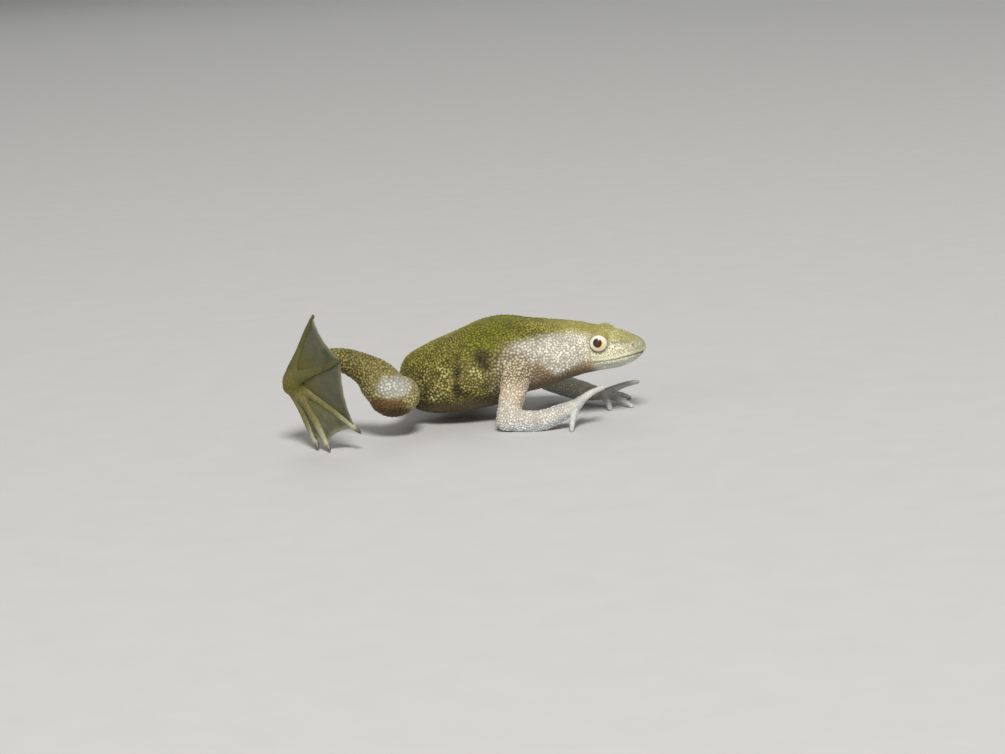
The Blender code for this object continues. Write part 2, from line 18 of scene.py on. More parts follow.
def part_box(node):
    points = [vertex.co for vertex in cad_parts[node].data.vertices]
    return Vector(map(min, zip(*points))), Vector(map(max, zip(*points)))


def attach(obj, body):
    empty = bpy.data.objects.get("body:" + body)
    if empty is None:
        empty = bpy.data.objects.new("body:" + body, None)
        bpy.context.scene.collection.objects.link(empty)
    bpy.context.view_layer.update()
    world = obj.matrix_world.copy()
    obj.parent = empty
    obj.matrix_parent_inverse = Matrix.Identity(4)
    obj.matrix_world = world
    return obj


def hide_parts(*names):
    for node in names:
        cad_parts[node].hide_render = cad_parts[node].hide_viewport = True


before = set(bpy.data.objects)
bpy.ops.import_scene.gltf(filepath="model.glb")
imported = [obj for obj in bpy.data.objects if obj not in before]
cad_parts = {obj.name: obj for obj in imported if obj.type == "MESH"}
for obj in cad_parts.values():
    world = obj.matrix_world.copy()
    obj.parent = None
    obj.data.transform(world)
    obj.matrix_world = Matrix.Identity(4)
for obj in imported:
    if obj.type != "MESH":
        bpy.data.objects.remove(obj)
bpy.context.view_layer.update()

# A design millimetre in metres, and a metre in design millimetres.
MM = 0.001
METRE = 1000.0
SEED = 11
VOXEL = 0.13
SIDES = ("right", "left")

# The camera: its distance to the aim point, and the angles and width of the view, from the photograph.
CAMERA_DISTANCE = 380.0
CAMERA_AIM = (0.0, 0.0, 5.45)
CAMERA_AZIMUTH = math.radians(12)
CAMERA_ELEVATION = math.radians(10)
CAMERA_ROLL = math.radians(4)
VIEW_WIDTH = 133.665
SENSOR_WIDTH = 36.0
NEAREST, FARTHEST = 0.01, 60.0

# The frog's own sizes, as in the solids.
SNOUT_X = 19.4
RUMP_X = -13.8
SNOUT_POLE = 0.12
RUMP_POLE = 0.25
VENT = (RUMP_X + 0.1, 0.0, 5.9)
VENT_SIZES = (0.9, 0.8, 0.65)
CLAWED_TOES = 3
CLAW_GAP = 0.25
CLAW_LENGTH = 0.95
CLAW_SUNK = 0.15
CLAW_DROOP = 0.12
CLAW_ARCH = 0.08
CLAW_LOWEST = 0.06
CLAW_GIRTH = 0.3
CLAW_POINT = 0.05
HEEL_LENGTH = 1.3
PAD_LENGTH = 1.6

# The left eye, its opening and ball, and the mound and brow that carry it. The right one is mirrored.
EYE_CENTRE = (13.8, 3.3, 10.15)
EYE_LOOKS = (0.16, 1.0, 0.22)
EYE_OPENING = 1.17
EYE_CURVE = 1.5
EYE_SET_BACK = 0.42
EYE_DROP = (0.0, -0.1)
PUPIL_SHIFT = (-0.16, -0.08)
MOUND_SUNK = 0.5
MOUND_SIZES = (1.77, 1.77, 1.35)
BROW = (15.1, 2.2, 10.25)
BROW_SIZES = (1.7, 1.1, 0.8)
SOCKET_DEPTH = 0.35
EDGE_LIFT = 0.02
LID_LIFT = 0.09
FOLD_DEPTH = 0.045
RIM_GIRTH = 0.045
RIM_TOP_GIRTH = 0.03

# Across the body from snout to rump: x, half width, top, widest height, bottom, squareness.
BODY_SECTIONS = (
    (19.40, 0.45, 9.35, 8.95, 8.55, 2.0),
    (19.15, 1.00, 9.75, 8.90, 8.22, 2.0),
    (18.50, 1.75, 10.25, 8.78, 7.52, 2.0),
    (17.40, 2.60, 10.75, 8.62, 6.88, 2.1),
    (15.80, 3.45, 11.15, 8.50, 6.38, 2.2),
    (13.80, 4.20, 11.75, 8.42, 6.14, 2.3),
    (11.80, 4.80, 12.18, 8.30, 5.90, 2.4),
    (9.80, 5.10, 12.55, 8.20, 5.40, 2.4),
    (8.00, 5.20, 12.80, 8.10, 4.80, 2.4),
    (6.00, 5.40, 12.95, 8.00, 4.10, 2.4),
    (3.60, 5.90, 13.25, 7.90, 3.60, 2.3),
    (1.50, 6.50, 13.55, 7.60, 2.80, 2.3),
    (-0.80, 7.10, 13.60, 7.10, 2.00, 2.2),
    (-3.20, 7.55, 13.00, 6.60, 1.55, 2.2),
    (-5.60, 7.65, 12.00, 6.20, 1.30, 2.2),
    (-8.00, 7.15, 11.05, 5.90, 1.15, 2.2),
    (-10.00, 6.10, 10.25, 5.70, 1.20, 2.1),
    (-11.80, 4.60, 9.35, 5.60, 1.75, 2.1),
    (-13.05, 3.10, 8.45, 5.55, 2.75, 2.0),
    (-13.80, 0.95, 7.05, 5.50, 4.40, 2.0),
)

# Along each part: share of its length, half width and half depth.
UPPER_ARM_GIRTHS = ((0.0, 1.95, 2.0), (0.35, 1.8, 1.8), (0.7, 1.55, 1.55), (1.0, 1.5, 1.5))
FOREARM_GIRTHS = ((0.0, 1.5, 1.45), (0.3, 1.45, 1.4), (0.65, 1.3, 1.28), (1.0, 1.0, 0.95))
THIGH_GIRTHS = ((0.0, 2.1, 2.15), (0.4, 2.1, 2.15), (0.8, 2.95, 2.55), (1.0, 3.25, 2.6))
SHANK_GIRTHS = ((0.0, 2.6, 2.7), (0.25, 2.3, 2.7), (0.5, 1.85, 2.0), (0.8, 1.4, 1.5), (1.0, 1.15, 1.15))
TARSUS_GIRTHS = ((0.0, 1.15, 1.1), (0.5, 1.05, 0.85), (1.0, 1.25, 0.8))
PAD_GIRTHS = ((0.0, 1.25, 0.75), (0.5, 1.55, 0.72), (1.0, 1.6, 0.66))
PALM_GIRTHS = ((0.0, 1.0, 0.9), (0.6, 1.15, 0.82), (1.0, 1.15, 0.7))
FINGER_GIRTHS = ((0.0, 0.8, 0.7), (0.35, 0.51, 0.47), (0.75, 0.39, 0.37), (1.0, 0.3, 0.29))
TOE_GIRTHS = ((0.0, 1.2, 0.75), (0.16, 0.98, 0.62), (0.35, 0.64, 0.52), (0.75, 0.5, 0.44), (1.0, 0.34, 0.33))
OUTER_TOE_GIRTHS = (
    (0.0, 1.2, 0.7),
    (0.16, 0.98, 0.55),
    (0.35, 0.64, 0.38),
    (0.75, 0.46, 0.27),
    (1.0, 0.24, 0.2),
)

# How digits and webs curve. Reach, notch and start are shares of a digit's length.
FINGER_ARCH = 0.25
FINGER_BOWS = (0.0, 0.0, 0.0, 0.0)
TOE_ARCH = 0.45
TOE_BOWS = (0.45, 0.0, 0.0, 0.0, 0.7)
FINGER_REACH = (0.45, 0.45, 0.45, 0.45)
FINGER_NOTCH = 0.1
FINGER_START = 0.2
TOE_REACH = (0.9, 0.97, 0.98, 0.97, 0.97)
TOE_NOTCH = 0.05
TOE_START = 0.1
WEB_THICK = 0.11
WEB_SLACK = 0.32
WEB_WAVES = (0.05, 0.03)


def limb(side, arch, bows, **places):
    """A limb's places in design millimetres. Its digits spread from the hub and curve by arch and bows."""
    arrays = {name: np.array(place, float) for name, place in places.items()}
    return SimpleNamespace(side=side, arch=arch, bows=bows, **arrays)


ARMS = (
    limb(
        "right",
        FINGER_ARCH,
        FINGER_BOWS,
        shoulder=(3.2, -4.6, 7.6),
        elbow=(2.25, -9.5, 1.45),
        forearm_bends=((6.6, -9.6, 1.25),),
        wrist=(10.7, -9.1, 2.75),
        hub=(11.6, -8.9, 3.2),
        back=(-0.52, -0.1, 0.85),
        digits=((11.7, -5.0, 3.2), (14.2, -5.8, 4.6), (14.9, -8.3, 5.1), (11.0, -11.3, 0.25)),
    ),
    limb(
        "left",
        FINGER_ARCH,
        FINGER_BOWS,
        shoulder=(3.3, 4.6, 7.6),
        elbow=(4.3, 10.3, 2.9),
        forearm_bends=((7.9, 9.0, 1.9),),
        wrist=(11.3, 6.9, 1.55),
        hub=(12.2, 6.5, 1.45),
        back=(0.1, 0.1, 1.0),
        digits=((13.8, 2.4, 0.25), (16.5, 3.9, 0.25), (16.8, 8.0, 2.75), (15.2, 10.2, 0.25)),
    ),
)
LEGS = (
    limb(
        "right",
        TOE_ARCH,
        TOE_BOWS,
        hip=(-11.3, -3.6, 4.9),
        knee=(-12.0, -12.3, 5.5),
        shank_bends=((-15.0, -12.9, 9.1), (-18.1, -12.6, 10.6)),
        ankle=(-20.6, -12.6, 11.1),
        hub=(-24.75, -16.05, 8.75),
        back=(0.65, 0.744, -0.156),
        digits=(
            (-21.2, -18.3, 1.0),
            (-19.3, -19.7, 0.85),
            (-15.3, -20.0, 3.0),
            (-15.7, -22.6, 12.4),
            (-20.3, -17.9, 17.4),
        ),
    ),
    limb(
        "left",
        TOE_ARCH,
        TOE_BOWS,
        hip=(-9.2, 3.6, 5.7),
        knee=(-7.8, 12.2, 4.3),
        shank_bends=((-12.6, 13.7, 3.9),),
        ankle=(-17.0, 14.4, 2.4),
        hub=(-12.8, 18.0, 1.15),
        back=(0.0, 0.0, 1.0),
        digits=(
            (-3.4, 16.4, 0.3),
            (-1.9, 20.2, 0.3),
            (-2.6, 24.0, 0.3),
            (-5.4, 27.0, 0.3),
            (-9.6, 27.8, 0.3),
        ),
    ),
)


def offset_to_frame():
    """From design millimetres to the frame: where the right eye's solid is, less where it was designed."""
    low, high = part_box("eye_right")
    middle = (np.array(low) + np.array(high)) / 2
    designed = np.array((EYE_CENTRE[0], -EYE_CENTRE[1], 0.0)) * MM
    return np.array((middle[0] - designed[0], middle[1] - designed[1], 0.0))


OFFSET = offset_to_frame()


def unit(vector):
    vector = np.array(vector, float)
    return vector / np.linalg.norm(vector)


def toward(start, end, distance):
    return start + distance * unit(end - start)


def ease(t):
    """A smooth step from 0 to 1."""
    t = np.clip(t, 0.0, 1.0)
    return t * t * (3 - 2 * t)


def above(value, start, width):
    """0 up to the start, rising smoothly to 1 at a width above it."""
    return ease((value - start) / width)


def below(value, start, width):
    """0 down to the start, rising smoothly to 1 at a width below it."""
    return ease((start - value) / width)


def hill(distance, width, power=2):
    """1 where the distance is 0, falling off over the width."""
    return np.exp(-((distance / width) ** power))


def length_to(points, place):
    return np.linalg.norm(points - place, axis=1)


def circle(count):
    """Angles set evenly round a circle."""
    return np.linspace(0, 2 * math.pi, count, endpoint=False)


def grid_faces(rows, columns, closed=False):
    """The four-sided faces of a grid of points. Where it is closed, each row runs round a ring."""
    faces = []
    for row in range(rows - 1):
        here, there = row * columns, (row + 1) * columns
        for column in range(columns if closed else columns - 1):
            after = (column + 1) % columns
            faces.append((here + column, here + after, there + after, there + column))
    return faces


def smooth_between(places, rows, wanted):
    """Rows of numbers at the wanted places, on a cubic curve through the rows at the given places."""
    places = np.array(places, float)
    rows = np.array(rows, float)
    wanted = np.clip(np.array(wanted, float), places[0], places[-1])
    slopes = np.gradient(rows, places, axis=0)
    low = np.clip(np.searchsorted(places, wanted, side="right") - 1, 0, len(places) - 2)
    span = (places[low + 1] - places[low])[:, None]
    t = ((wanted - places[low])[:, None]) / span
    h00, h10 = 2 * t**3 - 3 * t**2 + 1, t**3 - 2 * t**2 + t
    h01, h11 = -2 * t**3 + 3 * t**2, t**3 - t**2
    return h00 * rows[low] + h10 * span * slopes[low] + h01 * rows[low + 1] + h11 * span * slopes[low + 1]


def from_table(table, wanted):
    """The table's second value at the wanted first values, on a smooth curve."""
    table = np.array(table)
    return smooth_between(table[:, 0], table[:, 1:], wanted)[:, 0]


NOISE_CELLS = 48


def lattice_noise(points, size, seed):
    """Smooth noise from 0 to 1, with features about this many millimetres across."""
    grid = np.random.default_rng(seed).random((NOISE_CELLS,) * 3)
    place = points / size
    low = np.floor(place).astype(int)
    part = ease(place - low)
    total = np.zeros(len(points))
    for corner in np.ndindex(2, 2, 2):
        weight = np.prod(np.where(corner, part, 1 - part), axis=1)
        cell = (low + corner) % NOISE_CELLS
        total += weight * grid[cell[:, 0], cell[:, 1], cell[:, 2]]
    return total


def ripple(points, size, seed):
    """Noise about zero, mostly within 1 of it, with finer noise on it."""
    coarse = lattice_noise(points, size, seed) - 0.5
    return 1.6 * coarse + 0.9 * (lattice_noise(points, size / 2.3, seed + 1) - 0.5)


def spaced(start, end, step):
    return np.linspace(start, end, max(2, round(abs(end - start) / step) + 1))


class Shells:
    """Closed shells in design millimetres, gathered before they are fused."""

    def __init__(self):
        self.points = []
        self.faces = []

    def loft(self, rings, start_pole, end_pole):
        first = len(self.points)
        around = len(rings[0])
        self.points += [tuple(p) for ring in rings for p in ring]
        for face in grid_faces(len(rings), around, closed=True):
            self.faces.append(tuple(first + corner for corner in face))
        for pole, row, turn in ((start_pole, 0, -1), (end_pole, len(rings) - 1, 1)):
            self.points.append(tuple(pole))
            tip = len(self.points) - 1
            base = first + row * around
            for i in range(around):
                corners = (base + i, base + (i + 1) % around, tip)
                self.faces.append(corners[::turn])


def body_section(places):
    table = np.array(BODY_SECTIONS)[::-1]
    return smooth_between(table[:, 0], table[:, 1:], places)


def add_body(shells, around=96, step=0.3):
    places = spaced(RUMP_X, SNOUT_X, step)
    c, s = np.cos(circle(around)), np.sin(circle(around))
    rings = []
    for x, (width, top, middle, bottom, square) in zip(places, body_section(places)):
        reach = np.where(s > 0, top - middle, middle - bottom)
        across = width * np.sign(c) * np.abs(c) ** (2 / square)
        height = middle + reach * np.sign(s) * np.abs(s) ** (2 / square)
        rings.append(np.column_stack([np.full(around, x), across, height]))
    middles = body_section([RUMP_X, SNOUT_X])[:, 2]
    shells.loft(rings, (RUMP_X - RUMP_POLE, 0.0, middles[0]), (SNOUT_X + SNOUT_POLE, 0.0, middles[1]))


class Tube:
    """A fleshy tube along a curve through the path's points, whose girths are oval, wide along across."""

    def __init__(self, path, girths, across):
        self.path = np.array(path, float)
        runs = np.linalg.norm(np.diff(self.path, axis=0), axis=1)
        self.lengths = np.concatenate([[0], np.cumsum(runs)])
        self.total = self.lengths[-1]
        self.shares = [g[0] for g in girths]
        self.sizes = [g[1:] for g in girths]
        self.across = np.array(across, float)

    def direction(self, at):
        at = min(max(at, 0.0), self.total)
        near, far = np.clip([at - 0.05 * self.total, at + 0.05 * self.total], 0, self.total)
        ends = smooth_between(self.lengths, self.path, [near, far])
        return unit(ends[1] - ends[0])

    def centre(self, at):
        inside = smooth_between(self.lengths, self.path, [at])[0]
        return inside + self.direction(at) * (at - min(max(at, 0.0), self.total))

    def size(self, at):
        return smooth_between(self.shares, self.sizes, [at / self.total])[0]

    def add(self, shells, around, step=0.3):
        """Adds the tube, with round ends."""
        lobes = [math.radians(a) for a in range(10, 90, 10)]
        first, last = min(self.sizes[0]), min(self.sizes[-1])
        stations = [(-first * math.cos(a), math.sin(a)) for a in lobes]
        stations += [(at, 1.0) for at in spaced(0.0, self.total, step)]
        stations += [(self.total + last * math.cos(a), math.sin(a)) for a in reversed(lobes)]
        turns = circle(around)
        rings = []
        for at, scale in stations:
            width, depth = self.size(at)
            tangent = self.direction(at)
            side = unit(self.across - tangent * self.across.dot(tangent))
            up = np.cross(tangent, side)
            spread = np.outer(width * np.cos(turns), side) + np.outer(depth * np.sin(turns), up)
            rings.append(self.centre(at) + scale * spread)
        shells.loft(rings, self.centre(-first), self.centre(self.total + last))

    def near(self, points, samples=48):
        """Each point's rough distance to the tube's surface, and how far along the tube it lies, 0 to 1."""
        best = np.full(len(points), 1e9)
        along = np.zeros(len(points))
        for at in np.linspace(0, self.total, samples):
            radius = sum(self.size(at)) / 2
            distance = length_to(points, self.centre(at)) - radius
            closer = distance < best
            best[closer] = distance[closer]
            along[closer] = at / self.total
        return best, along


def bezier(start, bend, end, at):
    return (1 - at) ** 2 * start + 2 * at * (1 - at) * bend + at**2 * end


def digit_bends(limb):
    """What draws each digit's curve: its arch towards the back, and its bow away from the next digit."""
    bends = []
    for i, tip in enumerate(limb.digits):
        run = unit(tip - limb.hub)
        outward = tip - limb.digits[i - 1 if i else 1]
        outward = unit(outward - run * outward.dot(run))
        bends.append((limb.hub + tip) / 2 + 2 * limb.arch * limb.back + 2 * limb.bows[i] * outward)
    return bends


def digit_tubes(limb, girths):
    """The tubes of a limb's fingers or toes."""
    made = []
    for tip, bend, girth in zip(limb.digits, digit_bends(limb), girths):
        path = [bezier(limb.hub, bend, tip, at) for at in np.linspace(0, 1, 6)]
        made.append(Tube(path, girth, np.cross(tip - limb.hub, limb.back)))
    return made


def arm_tubes(arm):
    return {
        "upper_arm": [Tube((arm.shoulder, arm.elbow), UPPER_ARM_GIRTHS, (1, 0, 0))],
        "forearm": [Tube((arm.elbow, *arm.forearm_bends, arm.wrist), FOREARM_GIRTHS, (0, 1, 0))],
        "palm": [Tube((arm.wrist, arm.hub), PALM_GIRTHS, np.cross(arm.digits[2] - arm.wrist, arm.back))],
        "digits": digit_tubes(arm, [FINGER_GIRTHS] * len(arm.digits)),
    }


def leg_tubes(leg):
    """The foot's flat middle is called its palm, as the hand's is."""
    heel = toward(leg.hub, leg.ankle, HEEL_LENGTH)
    pad = (heel, leg.hub, toward(leg.hub, leg.digits[2], PAD_LENGTH))
    across = np.cross(leg.digits[2] - leg.hub, leg.back)
    outer_toes = len(leg.digits) - CLAWED_TOES
    return {
        "thigh": [Tube((leg.hip, leg.knee), THIGH_GIRTHS, (1, 0, 0))],
        "shank": [Tube((leg.knee, *leg.shank_bends, leg.ankle), SHANK_GIRTHS, (0, 1, 0))],
        "tarsus": [Tube((leg.ankle, heel), TARSUS_GIRTHS, across)],
        "palm": [Tube(pad, PAD_GIRTHS, across)],
        "digits": digit_tubes(leg, [TOE_GIRTHS] * CLAWED_TOES + [OUTER_TOE_GIRTHS] * outer_toes),
    }


TUBES = {
    **{(arm.side, "arm"): arm_tubes(arm) for arm in ARMS},
    **{(leg.side, "leg"): leg_tubes(leg) for leg in LEGS},
}


def mirrored(point, sign):
    return (point[0], point[1] * sign, point[2])


def eye_frame(sign):
    """The eye's centre, and a matrix whose columns are across, up and the way it looks."""
    looks = unit(mirrored(EYE_LOOKS, sign))
    across = unit(np.cross((0, 0, 1), looks))
    turn = np.column_stack([across, np.cross(looks, across), looks])
    return np.array(mirrored(EYE_CENTRE, sign), float), turn


def eyeball_front(radial):
    """How far the eyeball's front stands out along the gaze, at a distance from its axis."""
    inside = np.minimum(radial, 0.999 * EYE_CURVE)
    return np.sqrt(np.maximum(EYE_CURVE**2 - inside**2, 0)) - EYE_SET_BACK


def add_ball(shells, centre, sizes, turn, around=40, rows=24):
    centre, turns = np.array(centre), circle(around)
    rings = []
    for latitude in np.linspace(-90, 90, rows)[1:-1]:
        tilt = math.radians(latitude)
        local = (
            sizes[0] * math.cos(tilt) * np.cos(turns),
            sizes[1] * math.cos(tilt) * np.sin(turns),
            np.full(around, sizes[2] * math.sin(tilt)),
        )
        rings.append(centre + np.column_stack(local) @ turn.T)
    shells.loft(rings, centre - sizes[2] * turn[:, 2], centre + sizes[2] * turn[:, 2])


def new_object(name, points, faces):
    mesh = bpy.data.meshes.new(name)
    mesh.from_pydata([tuple(p) for p in points], [], [tuple(f) for f in faces])
    obj = bpy.data.objects.new(name, mesh)
    bpy.context.scene.collection.objects.link(obj)
    return obj


def take_modifiers(obj):
    graph = bpy.context.evaluated_depsgraph_get()
    made = bpy.data.meshes.new_from_object(obj.evaluated_get(graph))
    obj.modifiers.clear()
    obj.data = made


def fused_skin():
    """Every flesh shell fused into one closed surface, still in millimetres."""
    shells = Shells()
    add_body(shells)
    add_ball(shells, VENT, VENT_SIZES, np.eye(3))
    for sign in (-1, 1):
        centre, turn = eye_frame(sign)
        add_ball(shells, centre - MOUND_SUNK * turn[:, 2], MOUND_SIZES, turn)
        add_ball(shells, mirrored(BROW, sign), BROW_SIZES, np.eye(3))
    for parts in TUBES.values():
        for tubes in parts.values():
            for tube in tubes:
                slim = tube.total < 12 and max(tube.sizes[0]) < 1
                tube.add(shells, 24 if slim else 36)
    skin = new_object("frog_skin", shells.points, shells.faces)
    work = bmesh.new()
    work.from_mesh(skin.data)
    bmesh.ops.recalc_face_normals(work, faces=work.faces)
    work.to_mesh(skin.data)
    work.free()
    remesh = skin.modifiers.new("fuse", "REMESH")
    remesh.mode = "VOXEL"
    remesh.voxel_size = VOXEL
    take_modifiers(skin)
    return skin


def read(items, name, width, kind=np.float32):
    """A property of all items of a mesh, one row each."""
    values = np.empty(len(items) * width, kind)
    items.foreach_get(name, values)
    return values.reshape(-1, width)


def points_of(obj):
    return read(obj.data.vertices, "co", 3).astype(float)


def set_points(obj, points):
    obj.data.vertices.foreach_set("co", points.astype(np.float32).ravel())
    obj.data.update()


def normals_of(obj):
    return read(obj.data.vertex_normals, "vector", 3).astype(float)


def edges_of(obj):
    return read(obj.data.edges, "vertices", 2, np.int32)


def smoothed(values, edges, weight, rounds, amount=0.5):
    """Each point drawn towards the mean of its neighbours, as strongly as its weight says."""
    count = len(values)
    degree = np.bincount(edges.ravel(), minlength=count)[:, None]
    for _ in range(rounds):
        total = np.zeros_like(values)
        for axis in range(values.shape[1]):
            total[:, axis] += np.bincount(edges[:, 0], values[edges[:, 1], axis], count)
            total[:, axis] += np.bincount(edges[:, 1], values[edges[:, 0], axis], count)
        values = values + amount * weight[:, None] * (total / degree - values)
    return values


def body_distance(points):
    """Each point's rough distance to the surface of trunk and head."""
    width, top, middle, bottom, square = body_section(points[:, 0]).T
    high = points[:, 2] - middle
    reach = np.where(high > 0, top - middle, middle - bottom)
    share = (np.abs(points[:, 1]) / width) ** square + (np.abs(high) / reach) ** square
    ahead = np.maximum(np.maximum(points[:, 0] - SNOUT_X, RUMP_X - points[:, 0]), 0)
    return np.maximum((share ** (1 / square) - 1) * np.minimum(width, reach), ahead)


class Zones:
    """How near each point is to each part of the body, how far along it lies, and its outer toes."""

    def __init__(self, points):
        self.near, self.along, self.outer = {"body": body_distance(points)}, {}, {}
        for (side, kind), parts in TUBES.items():
            for part, tubes in parts.items():
                name = f"{kind}_{part}_{side}"
                near, along = zip(*(tube.near(points) for tube in tubes))
                best = np.argmin(near, axis=0)
                self.near[name] = np.choose(best, near)
                self.along[name] = np.choose(best, along)
                if name.startswith("leg_digits"):
                    inner, outer = np.min(near[:CLAWED_TOES], axis=0), np.min(near[CLAWED_TOES:], axis=0)
                    self.outer[side] = ease((inner - outer) / 0.4 + 0.5)
        self.names = list(self.near)
        distances = np.array([self.near[n] for n in self.names])
        nearness = np.exp(-np.maximum(distances - distances.min(axis=0), 0) / 0.2)
        self.share = dict(zip(self.names, nearness / nearness.sum(axis=0)))
        for side in SIDES:
            self.outer[side] *= self.share[f"leg_digits_{side}"]

    def of(self, *words):
        """The summed share of every part whose name holds one of the words."""
        return sum(self.share[n] for n in self.names if any(w in n for w in words))

    def junction(self, one, other, reach):
        """1 where both parts' surfaces meet, falling off over the reach."""
        a, b = self.near[one], self.near[other]
        return np.exp(-(a**2 + b**2) / reach**2)


# Parts whose skins run into each other, and the reach over which they are smoothed.
JUNCTIONS = (
    ("body", "arm_upper_arm_{}", 0.8),
    ("body", "leg_thigh_{}", 0.45),
    ("arm_upper_arm_{}", "arm_forearm_{}", 0.8),
    ("leg_thigh_{}", "leg_shank_{}", 0.9),
    ("leg_shank_{}", "leg_tarsus_{}", 0.6),
    ("leg_tarsus_{}", "leg_palm_{}", 0.5),
    ("arm_forearm_{}", "arm_palm_{}", 0.4),
    ("arm_palm_{}", "arm_digits_{}", 0.25),
    ("leg_palm_{}", "leg_digits_{}", 0.3),
)
SMOOTHING_ROUNDS = 40
SMOOTHING_EVERYWHERE = 0.15


def smooth_junctions(skin):
    points = points_of(skin)
    zones = Zones(points)
    weight = np.full(len(points), SMOOTHING_EVERYWHERE)
    for side in SIDES:
        for one, other, reach in JUNCTIONS:
            weight = np.maximum(weight, zones.junction(one.format(side), other.format(side), reach))
    weight *= 1 - 0.75 * zones.of("digits")
    set_points(skin, smoothed(points, edges_of(skin), weight, SMOOTHING_ROUNDS))


MOUTH_BACK_X = 12.5
MOUTH_DEPTH = 0.1
MOUTH_FRONT_DEPTH = 0.07
UPPER_LIP = 0.07
LOWER_LIP = 0.05
# The mouth's line from its corner to the snout, which overhangs it: x and height.
MOUTH_LINE = (
    (12.50, 7.74),
    (14.40, 7.76),
    (16.00, 7.87),
    (17.00, 8.02),
    (18.00, 8.20),
    (18.80, 8.31),
    (19.40, 8.36),
)


def mouth_height(x):
    return from_table(MOUTH_LINE, x)


def mouth_shape(points, body_near):
    """How far lips and mouth line stand out, and masks of the line and the upper lip."""
    x = points[:, 0]
    rise = points[:, 2] - mouth_height(x)
    on = above(x, MOUTH_BACK_X, 1.6) * (body_near > -0.6)
    front = above(x, 16.6, 1.6)
    groove = -(MOUTH_DEPTH + MOUTH_FRONT_DEPTH * front) * hill(rise, 0.085)
    upper, lower = UPPER_LIP * hill(rise - 0.27, 0.19), LOWER_LIP * hill(rise + 0.26, 0.2)
    line = hill(rise, 0.095) * on * (0.4 + 0.6 * front)
    lip = hill(rise - 0.34, 0.27) * on * (1 - 0.5 * front)
    return on * (groove + upper + lower), line, lip


NOSTRIL = (18.25, 1.83, 9.4)
NOSTRIL_DEPTH = 0.22
NOSTRIL_RIM = 0.05


def nostril_shape(points):
    """The skin's way out at each nostril, a pit with a raised rim, and masks of pit, pink rim and halo."""
    out, pit, pink, halo = (np.zeros(len(points)) for _ in range(4))
    for sign in (-1, 1):
        away = (points - np.array(mirrored(NOSTRIL, sign))) * (1.0, 1.0, 1.25)
        distance = np.linalg.norm(away, axis=1)
        out += -NOSTRIL_DEPTH * hill(distance, 0.24) + NOSTRIL_RIM * hill(distance - 0.45, 0.16)
        pit = np.maximum(pit, hill(distance, 0.15))
        pink = np.maximum(pink, hill(distance, 0.42, 4))
        halo = np.maximum(halo, hill(distance, 1.05))
    return out, pit, pink, halo


def shape_eye_openings(points):
    """Sinks the skin behind each eyeball and lays its edge close on the ball, thicker at the top."""
    ring = np.zeros(len(points))
    lid = np.zeros(len(points))
    for sign in (-1, 1):
        centre, turn = eye_frame(sign)
        local = (points - centre) @ turn
        flat = local[:, :2] - EYE_DROP
        radial = np.hypot(flat[:, 0], flat[:, 1])
        facing = (local[:, 2] > -0.35) & (radial < 2.4)
        ball = eyeball_front(np.hypot(local[:, 0], local[:, 1]))
        opened = facing * (1 - ease((radial - EYE_OPENING + 0.05) / 0.12))
        top = ease(flat[:, 1] / 1.1)
        edge = facing * hill(radial - EYE_OPENING - 0.08, 0.16)
        laid = ball + EDGE_LIFT + LID_LIFT * top
        local[:, 2] = local[:, 2] * (1 - edge) + laid * edge
        fold = facing * hill(radial - EYE_OPENING - 0.3 - 0.1 * top, 0.09) * (0.35 + 0.65 * top)
        local[:, 2] -= FOLD_DEPTH * fold
        local[:, 2] = local[:, 2] * (1 - opened) + np.minimum(local[:, 2], ball - SOCKET_DEPTH) * opened
        ring = np.maximum(ring, np.maximum(0.3 * fold, opened))
        lid = np.maximum(lid, edge * top)
        points = np.where(facing[:, None], local @ turn.T + centre, points)
    return points, ring, lid


def gaussian_at(points, place, radii):
    d = (points - np.array(place)) / np.array(radii)
    return np.exp(-(d**2).sum(axis=1))


def flank_bands(points):
    """Upright bands down the flank, from -1 in a fold to 1 on the swell between two."""
    x, _, z = points.T
    sag = x + 0.55 * np.sin(0.9 * z + 0.8) + 0.3 * np.sin(1.7 * z)
    waves = np.sin(2 * math.pi * sag / 2.1) + 0.5 * np.sin(2 * math.pi * sag / 1.27 + 1.3)
    return waves / 1.5


# Cream swells and hollows of the flank, the hollows darkened by painted shade: x, height, half length, half
# height, and how pale or dark.
FLANK_MARKS = (
    (-0.3, 8.8, 1.6, 1.2, -0.9),
    (-1.7, 9.8, 1.3, 0.6, -0.6),
    (-4.6, 9.6, 0.8, 0.7, -0.7),
    (-4.3, 7.5, 0.5, 0.9, -0.8),
    (-4.6, 5.1, 0.55, 1.2, -1.0),
    (-5.8, 8.8, 0.7, 0.5, -0.5),
    (-3.5, 4.5, 0.9, 0.6, -0.8),
    (-0.9, 5.4, 0.9, 0.8, -0.5),
    (-7.6, 8.0, 0.6, 0.9, -0.4),
    (-8.9, 5.2, 0.5, 1.0, -0.5),
    (-6.4, 7.6, 0.9, 0.8, 1.0),
    (-6.6, 5.8, 0.7, 1.0, 0.9),
    (-8.0, 4.0, 0.8, 0.9, 0.9),
    (-3.7, 6.4, 0.6, 0.5, 0.9),
    (-2.3, 7.7, 1.0, 0.5, 1.0),
    (-1.4, 6.7, 0.8, 0.7, 0.9),
    (-2.3, 5.6, 0.6, 0.7, 0.5),
    (-9.4, 6.8, 0.8, 0.9, 0.6),
    (-3.0, 10.1, 0.9, 0.5, 0.7),
    (-8.9, 8.8, 1.2, 0.6, 0.5),
)


